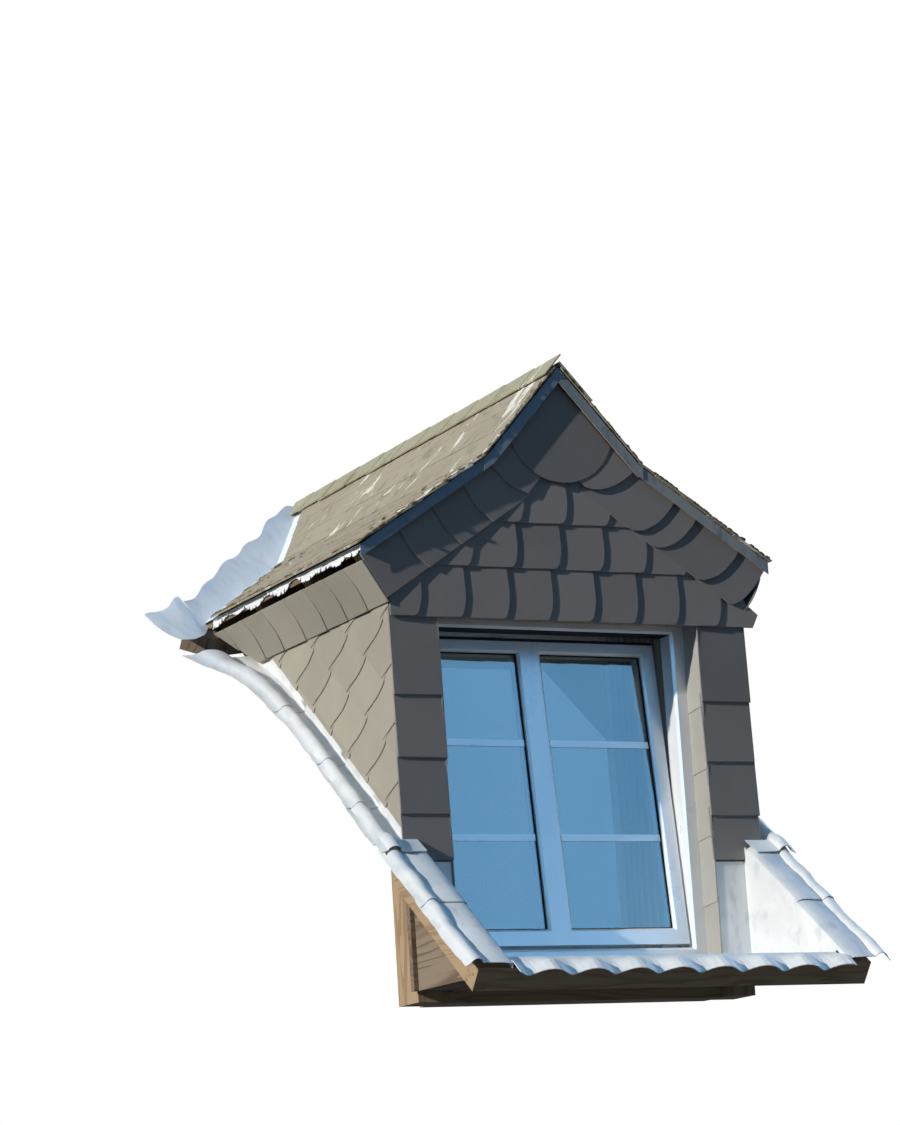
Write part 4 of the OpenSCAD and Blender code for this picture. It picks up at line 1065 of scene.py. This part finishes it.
# Lead at the foot of the cheeks and beside the recess. Short strips of soft lead are dressed over a
# roll beside each cheek, lapped downhill, and turned up behind the slates. They bear the dents of the
# dresser and pale bloom.
lead = surface("dressed_lead", sheet_group, {
    "Base": (0.71, 0.71, 0.69, 1), "Bloom": (0.80, 0.795, 0.77, 1), "Stain": (0.42, 0.43, 0.43, 1),
    "Staining": 0.45, "Gloss": 0.42}, bump=0.45, bump_distance=0.003, Specular_IOR_Level=0.4)
tile_n = 0.100
roll_x = half_wall + 0.062
roll_radius = 0.022
flash_x = half_wall + 0.108
upstand = 0.080
lead_thick = 0.0022
sink_depth, sink_from, sink_length = 0.034, 1.16, 0.22


def on_deck(x, s, n):
    """Place at s up the slope of the main roof and n out from its deck."""
    return on_wall(x, s * math.cos(main_pitch) - n * math.sin(main_pitch),
                   deck_z(0) + s * math.sin(main_pitch) + n * math.cos(main_pitch))


def slope_s(y, n):
    """How far up the slope the plane y lies at n over the deck."""
    return (y + n * math.sin(main_pitch)) / math.cos(main_pitch)


def arc_points(cx, cy, radius, start, end, count):
    """Points on an arc, from one angle in degrees to another."""
    turns = [math.radians(start + turn) for turn in steps(count, end - start)]
    return [(cx + radius * math.cos(t), cy + radius * math.sin(t)) for t in turns]


def dressed_strip(bundle, side, profile, low_s, high_s, lap_lift, dents, end_wave, front=None, spread=None):
    """Sheet over an (x, n) profile between two places up the slope, its lower end lifted over the next.

    It starts behind the plane y = front. spread(s) moves its outer part sideways, and such a strip
    sinks towards its upper end, below the valley boards."""
    count = max(6, int((high_s - low_s) / 0.012))
    outer = max(x for x, n in profile)
    rows = []
    for t in steps(count):
        row = []
        for k, (x, n) in enumerate(profile):
            low = low_s + end_wave * field.noise(Vector((x * 22, low_s * 9, side)))
            if front is not None:
                low = max(low, slope_s(front if x > half_wall else front + 0.016, n))
            s = low + (high_s - low) * t
            away = 0.0
            lift = lap_lift * (1 - t)
            if spread:
                away = max(0.0, (x - half_wall) / (outer - half_wall)) * spread(s)
                lift -= sink_depth * min(1.0, max(0.0, s - sink_from) / sink_length)
            bump = dent((x * side, s, 0.0), 9.0, dents) + dent((x * side, s, 5.0), 26.0, dents * 0.35)
            bump *= min(1.0, max(0.0, k - 1.0) / 3.0)
            row.append(on_deck(side * (x + away), s, n + lift + bump))
        rows.append(row)
    if side == 1:
        rows = [row[::-1] for row in rows]
    bundle.add(*sheet_mesh(rows[::-1], lead_thick))


cheek_profile = ([(board_out + 0.0035, tile_n + upstand), (board_out + 0.0035, tile_n + 0.045)]
                 + arc_points(board_out + 0.0155, tile_n + 0.012, 0.012, 180, 270, 3)
                 + arc_points(roll_x, tile_n + 0.002, roll_radius, 200, 20, 10)
                 + [(half_wall + 0.093, tile_n - 0.001), (flash_x, tile_n - 0.004)])
cheek_laps = [0.085, 0.330, 0.620, 0.990, 1.420]


def flash_spread(s):
    """The flashing is a little narrow half way up and opens out below the valley's tongue."""
    return (0.045 * max(0.0, (s - 0.90) / 0.37) + 0.085 * max(0.0, (s - 1.25) / 0.2) ** 1.5
            - 0.012 * math.sin(math.pi * min(1.0, max(0.0, s - 0.2))))


for side, side_name in sides.items():
    flashing = Bundle(90 + side)
    for low_s, high_s in zip(cheek_laps, cheek_laps[1:]):
        dressed_strip(flashing, side, cheek_profile, low_s - 0.02, high_s + 0.03, 0.0045, 0.006,
                      0.003, -0.002, flash_spread)
    flashing.make("cheek_lead_" + side_name, lead, ("cheek_flashing_" + side_name,), smooth=True)

lip_s = slope_s(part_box("apron")[1].y - face_y, 0.090)
half_recess = half_wall - 0.057
strip_profile = ([(half_recess - 0.0005, tile_n - 0.010), (half_recess, tile_n + 0.002),
                  (half_recess + 0.012, tile_n + 0.008), (half_wall - 0.020, tile_n + 0.007),
                  (half_wall + 0.036, tile_n + 0.006)]
                 + arc_points(roll_x, tile_n - 0.003, roll_radius, 160, 20, 8)
                 + [(flash_x - 0.010, tile_n - 0.009)])
recess_strips = Bundle(95)
for side in sides:
    dressed_strip(recess_strips, side, strip_profile, lip_s - 0.082, -0.25, 0.003, 0.009, 0.010)
    dressed_strip(recess_strips, side, strip_profile, -0.29, 0.055, 0.005, 0.009, 0.008)
recess_strips.make("side_lead", lead, ("side_strips",), smooth=True)

corner_profile = ([(half_recess + 0.006, tile_n + 0.012), (half_wall + 0.030, tile_n + 0.012)]
                  + arc_points(roll_x, tile_n + 0.011, roll_radius, 170, 10, 8)
                  + [(flash_x - 0.004, tile_n + 0.006)])
corners = Bundle(96)
for side in sides:
    dressed_strip(corners, side, corner_profile, slope_s(-0.052, tile_n), slope_s(0.012, tile_n),
                  0.004, 0.012, 0.010)
corners.make("corner_lead", lead, ("corner_leads",), smooth=True)
dress(lead, "apron", "recess_lining")

# Window. White plastic profiles: the frame is fixed to the posts and sill beam, and the sash with two
# lights is tilted into the room. Black seals hold the glass, and flat bars are stuck over it.
pvc = surface("window_plastic", paint_group, {
    "Paint": (0.80, 0.785, 0.755, 1), "Grime": (0.56, 0.55, 0.50, 1), "Age": 0.2, "Gloss": 0.22},
    bump=0.04, bump_distance=0.0006, Specular_IOR_Level=1.0)
seal_rubber = surface("seal_rubber", paint_group, {
    "Paint": (0.018, 0.018, 0.02, 1), "Grime": (0.06, 0.06, 0.06, 1), "Age": 0.5, "Gloss": 0.5},
    bump=0.1, bump_distance=0.0006)
dress(pvc, "window_frame", "sash", "sash_handle")

sash_tilt = math.radians(5.7)
frame_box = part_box("window_frame")
frame_depth = 0.070
window_x = (frame_box[0].x + frame_box[1].x) / 2
hinge_y = frame_box[1].y - face_y
frame_face = 0.067
sash_gap = 0.008
sash_foot = frame_box[0].z - foot_z + frame_face + sash_gap
sash_half = (frame_box[1].x - frame_box[0].x) / 2 - frame_face - sash_gap
sash_height = frame_box[1].z - frame_box[0].z - 2 * (frame_face + sash_gap)
stile, mullion, rail_high, rail_low = 0.050, 0.086, 0.049, 0.054
pane_width = sash_half - stile - mullion / 2
pane_height = sash_height - rail_high - rail_low
glass_front = 0.030


def in_sash(x, y, z):
    """Place in the tilted sash: y back from the frame's face, z up from the sash's foot."""
    back = y - frame_depth
    return on_wall(window_x + x, hinge_y + back * math.cos(sash_tilt) + z * math.sin(sash_tilt),
                   sash_foot - back * math.sin(sash_tilt) + z * math.cos(sash_tilt))


def on_pane(a, b, h):
    return in_sash(a, glass_front - h, b)


seals = Bundle(101)
bars = Bundle(102)
seal = 0.0045
seal_thick = 0.0035
bar_height = 0.023
bar_thick = 0.004
for side in sides:
    x0 = side * (mullion + pane_width) / 2 - pane_width / 2
    x1, z0, z1 = x0 + pane_width, rail_low, rail_low + pane_height
    for strip in ((x0, z0, x1, z0 + seal), (x0, z1 - seal, x1, z1),
                  (x0, z0 + seal, x0 + seal, z1 - seal), (x1 - seal, z0 + seal, x1, z1 - seal)):
        seals.plate(rectangle(*strip), on_pane, seal_thick, 0.001, 0.0)
    for k in (1, 2):
        low = z0 + k * (pane_height + bar_height) / 3 - bar_height
        bars.plate(rectangle(x0 + seal, low, x1 - seal, low + bar_height), on_pane, bar_thick, 0.0015, 0.0)
seals.make("glazing_seals", seal_rubber)
bars.make("glazing_bars", pvc)

# Black seals of the sash, which also stand in as painted shade for the dark gap above it. They run along its
# top, on the front edge and on the overlap behind, and a black strip lines the underside of the frame's head
# as painted shade over the gap that the tilted sash leaves.
seal_shade_strips = Bundle(103)
sash_front = 0.0122
overlap_front = frame_depth + 0.0031
sash_end = sash_half - 0.003
sash_seal_thick = 0.0030
for low, high, front_y in ((sash_height - 0.010, sash_height - 0.001, sash_front),
                           (sash_height + 0.0008, sash_height + 0.0105, overlap_front)):
    seal_shade_strips.plate(rectangle(-sash_end, low, sash_end, high),
                 lambda a, b, h: in_sash(a, front_y - h, b), sash_seal_thick, 0.001, 0.0)
# The wide black strip under the frame's head is painted shade over the gap.
head_low = frame_box[1].z - foot_z - frame_face
head_half = sash_half + 0.006
seal_shade_strips.plate(rectangle(window_x - head_half, hinge_y - 0.062, window_x + head_half, hinge_y - 0.001),
             lambda a, b, h: on_wall(a, b, head_low + 0.0004 - h), seal_thick, 0.001, 0.0)
seal_shade_strips.make("head_shade_strip", seal_rubber)

# Glass and fittings. Clear panes with a faint green tint sit in the seals; the stay, its pivots and
# the hinges are plated steel.
glass = bpy.data.materials.new("window_glass")
glass.use_nodes = True
glass_tree = glass.node_tree
glass_shader = glass_tree.nodes["Principled BSDF"]
glass_shader.inputs["Metallic"].default_value = 0.04
glass_shader.inputs["Transmission Weight"].default_value = 1.0
glass_shader.inputs["Roughness"].default_value = 0.02
glass_shader.inputs["IOR"].default_value = 1.45
haze = ramp(glass_tree, noise(glass_tree, scaled_object_coords(glass_tree, (1, 1, 0.4)), 2.2, 3.0), 0.3, 0.7)
glass_tree.links.new(blend_colors(glass_tree, haze, (0.62, 0.70, 0.66, 1), (0.70, 0.76, 0.72, 1)),
                     glass_shader.inputs["Base Color"])
dress(glass, "glass_panes")

plated = surface("plated_steel", sheet_group, {
    "Base": (0.50, 0.49, 0.47, 1), "Bloom": (0.56, 0.55, 0.53, 1), "Stain": (0.28, 0.25, 0.20, 1),
    "Staining": 0.3, "Gloss": 0.30}, bump=0.1, bump_distance=0.0005, Metallic=0.15)
dress(plated, "window_fittings")

# Curtain. A sheer white curtain hangs from a thin rail across the room side of the window, gathered
# into soft folds at the right.
rail_y, rail_z, rail_radius, half_room = 0.345, 0.838, 0.005, 0.547
rail_ring = arc_points(rail_y, rail_z, rail_radius, 0, 330, 11)
rail_faces = [list(range(12)), list(range(23, 11, -1))]
rail_faces += [[(k + 1) % 12, k, 12 + k, 12 + (k + 1) % 12] for k in range(12)]
rail = Bundle(121)
rail.add([on_wall(x, y, z) for x in (-half_room, half_room) for y, z in rail_ring], rail_faces)
rail.make("curtain_rail", plated, smooth=True)

net = surface("curtain_net", paint_group, {
    "Paint": (0.88, 0.87, 0.80, 1), "Grime": (0.70, 0.68, 0.60, 1), "Age": 0.3, "Gloss": 0.7},
    bump=0.3, bump_distance=0.0008, Alpha=0.85)
curtain_left, curtain_width, curtain_drop, curtain_folds = 0.300, 0.215, 1.08, 9
fold_reach = 0.015
cloth_thick = 0.0006
curtain_rows = []
for t in steps(180):
    row = []
    for d in steps(22):
        phase = curtain_folds * t + 0.22 * math.sin(5 * t + 1.5 * d)
        x = curtain_left + curtain_width * t + 0.010 * d * math.sin(6 * t + 2 * d)
        y = rail_y + fold_reach * math.sin(2 * math.pi * phase) + dent((x, d, 0), 5.0, 0.006 * d)
        row.append(on_wall(x, y, rail_z - rail_radius + 0.0008 - curtain_drop * d))
    curtain_rows.append(row)
curtain = Bundle(122)
curtain.add(*sheet_mesh(curtain_rows, cloth_thick))
hung = curtain.make("curtain", net, smooth=True)

# Camera. It stands low in front of the left cheek, about eleven metres away, and looks up at the
# window through a long lens held slightly turned.
camera_turn = math.radians(27.3692)
camera_rise = math.radians(11.9824)
camera_roll = math.radians(3.6507)
camera_data = bpy.data.cameras.new("camera")
camera_data.sensor_fit = "VERTICAL"
camera_data.sensor_height = 36.0
camera_data.lens = 108.98
camera_data.clip_end = 100.0
camera = bpy.data.objects.new("camera", camera_data)
bpy.context.scene.collection.objects.link(camera)
sight = Vector((math.sin(camera_turn) * math.cos(camera_rise),
                math.cos(camera_turn) * math.cos(camera_rise), math.sin(camera_rise)))
camera.location = on_wall(-5.385, -9.573, -1.321)
camera.rotation_euler = sight.to_track_quat("-Z", "Y").to_euler()
camera.rotation_euler.rotate_axis("Z", -camera_roll)
bpy.context.scene.camera = camera

# Studio. A pale floor lies well below the part, since the window sits in a roof, and the backdrop is
# white. A sharp lamp from the left stands for the low sun that rakes over the slates, a broad one
# lights the far side, and the world gives a soft blue fill and the sky that the panes mirror.
floor_mesh = bpy.data.meshes.new("floor")
floor_size, floor_z = 30.0, -2.4
floor_corners = rectangle(-floor_size, -floor_size, floor_size, floor_size)
floor_mesh.from_pydata([(x, y, floor_z) for x, y in floor_corners], [], [(0, 1, 2, 3)])
floor = bpy.data.objects.new("floor", floor_mesh)
bpy.context.scene.collection.objects.link(floor)
floor_finish = bpy.data.materials.new("pale_floor")
floor_finish.use_nodes = True
floor_tree = floor_finish.node_tree
floor_shader = floor_tree.nodes["Principled BSDF"]
floor_shader.inputs["Roughness"].default_value = 0.9
floor_shader.inputs["Specular IOR Level"].default_value = 0.0
floor_shader.inputs["Emission Strength"].default_value = 1.0
floor_seen = add_node(floor_tree, "LightPath").outputs["Is Camera Ray"]
for socket_name, unseen, seen in (("Base Color", (0.14, 0.15, 0.17, 1), (0.8, 0.8, 0.79, 1)),
                                  ("Emission Color", (0, 0, 0, 1), (0.48, 0.42, 0.36, 1))):
    floor_tree.links.new(blend_colors(floor_tree, floor_seen, unseen, seen), floor_shader.inputs[socket_name])
floor_mesh.materials.append(floor_finish)

world = bpy.data.worlds.new("studio")
bpy.context.scene.world = world
world.use_nodes = True
sky = world.node_tree
sky.nodes.clear()
light_path = add_node(sky, "LightPath").outputs
fill = add_node(sky, "Background", {"Color": (0.38, 0.66, 1.0, 1), "Strength": 0.20})
mirrored = add_node(sky, "Background", {"Color": (0.20, 0.54, 1.0, 1), "Strength": 5.8})
shown = add_node(sky, "Background", {"Color": (1, 1, 1, 1), "Strength": 1.0})
# A ray that went through the glass may count as glossy too, but it has to see the fill
reflected = calc(sky, "SUBTRACT", light_path["Is Glossy Ray"], light_path["Is Transmission Ray"], True)
# The bright sky that the panes mirror stands in front of the dormer, and the sky behind it is dull
direction = add_node(sky, "SeparateXYZ", {0: add_node(sky, "TexCoord").outputs["Generated"]})
reflected = calc(sky, "MULTIPLY", reflected, ramp(sky, direction.outputs["Y"], -0.1, 0.5, 1.0, 0.12))
lighting = add_node(sky, "MixShader", {0: reflected, 1: fill.outputs[0], 2: mirrored.outputs[0]})
mixed = add_node(sky, "MixShader", {0: light_path["Is Camera Ray"], 1: lighting.outputs[0],
                                    2: shown.outputs[0]})
sky_out = sky.nodes.new("ShaderNodeOutputWorld")
sky.links.new(mixed.outputs[0], sky_out.inputs["Surface"])


def add_sun(name, energy, angle, color, toward):
    data = bpy.data.lights.new(name, "SUN")
    data.energy = energy
    data.angle = math.radians(angle)
    data.color = color
    lamp = bpy.data.objects.new(name, data)
    bpy.context.scene.collection.objects.link(lamp)
    lamp.rotation_euler = Vector(toward).to_track_quat("Z", "Y").to_euler()


add_sun("key", 3.4, 0.8, (1.0, 0.97, 0.92), (-0.94, -0.165, 0.34))
add_sun("back_fill", 1.2, 30.0, (0.95, 0.97, 1.0), (0.80, 0.50, 0.45))

bpy.context.scene.view_settings.view_transform = "Standard"
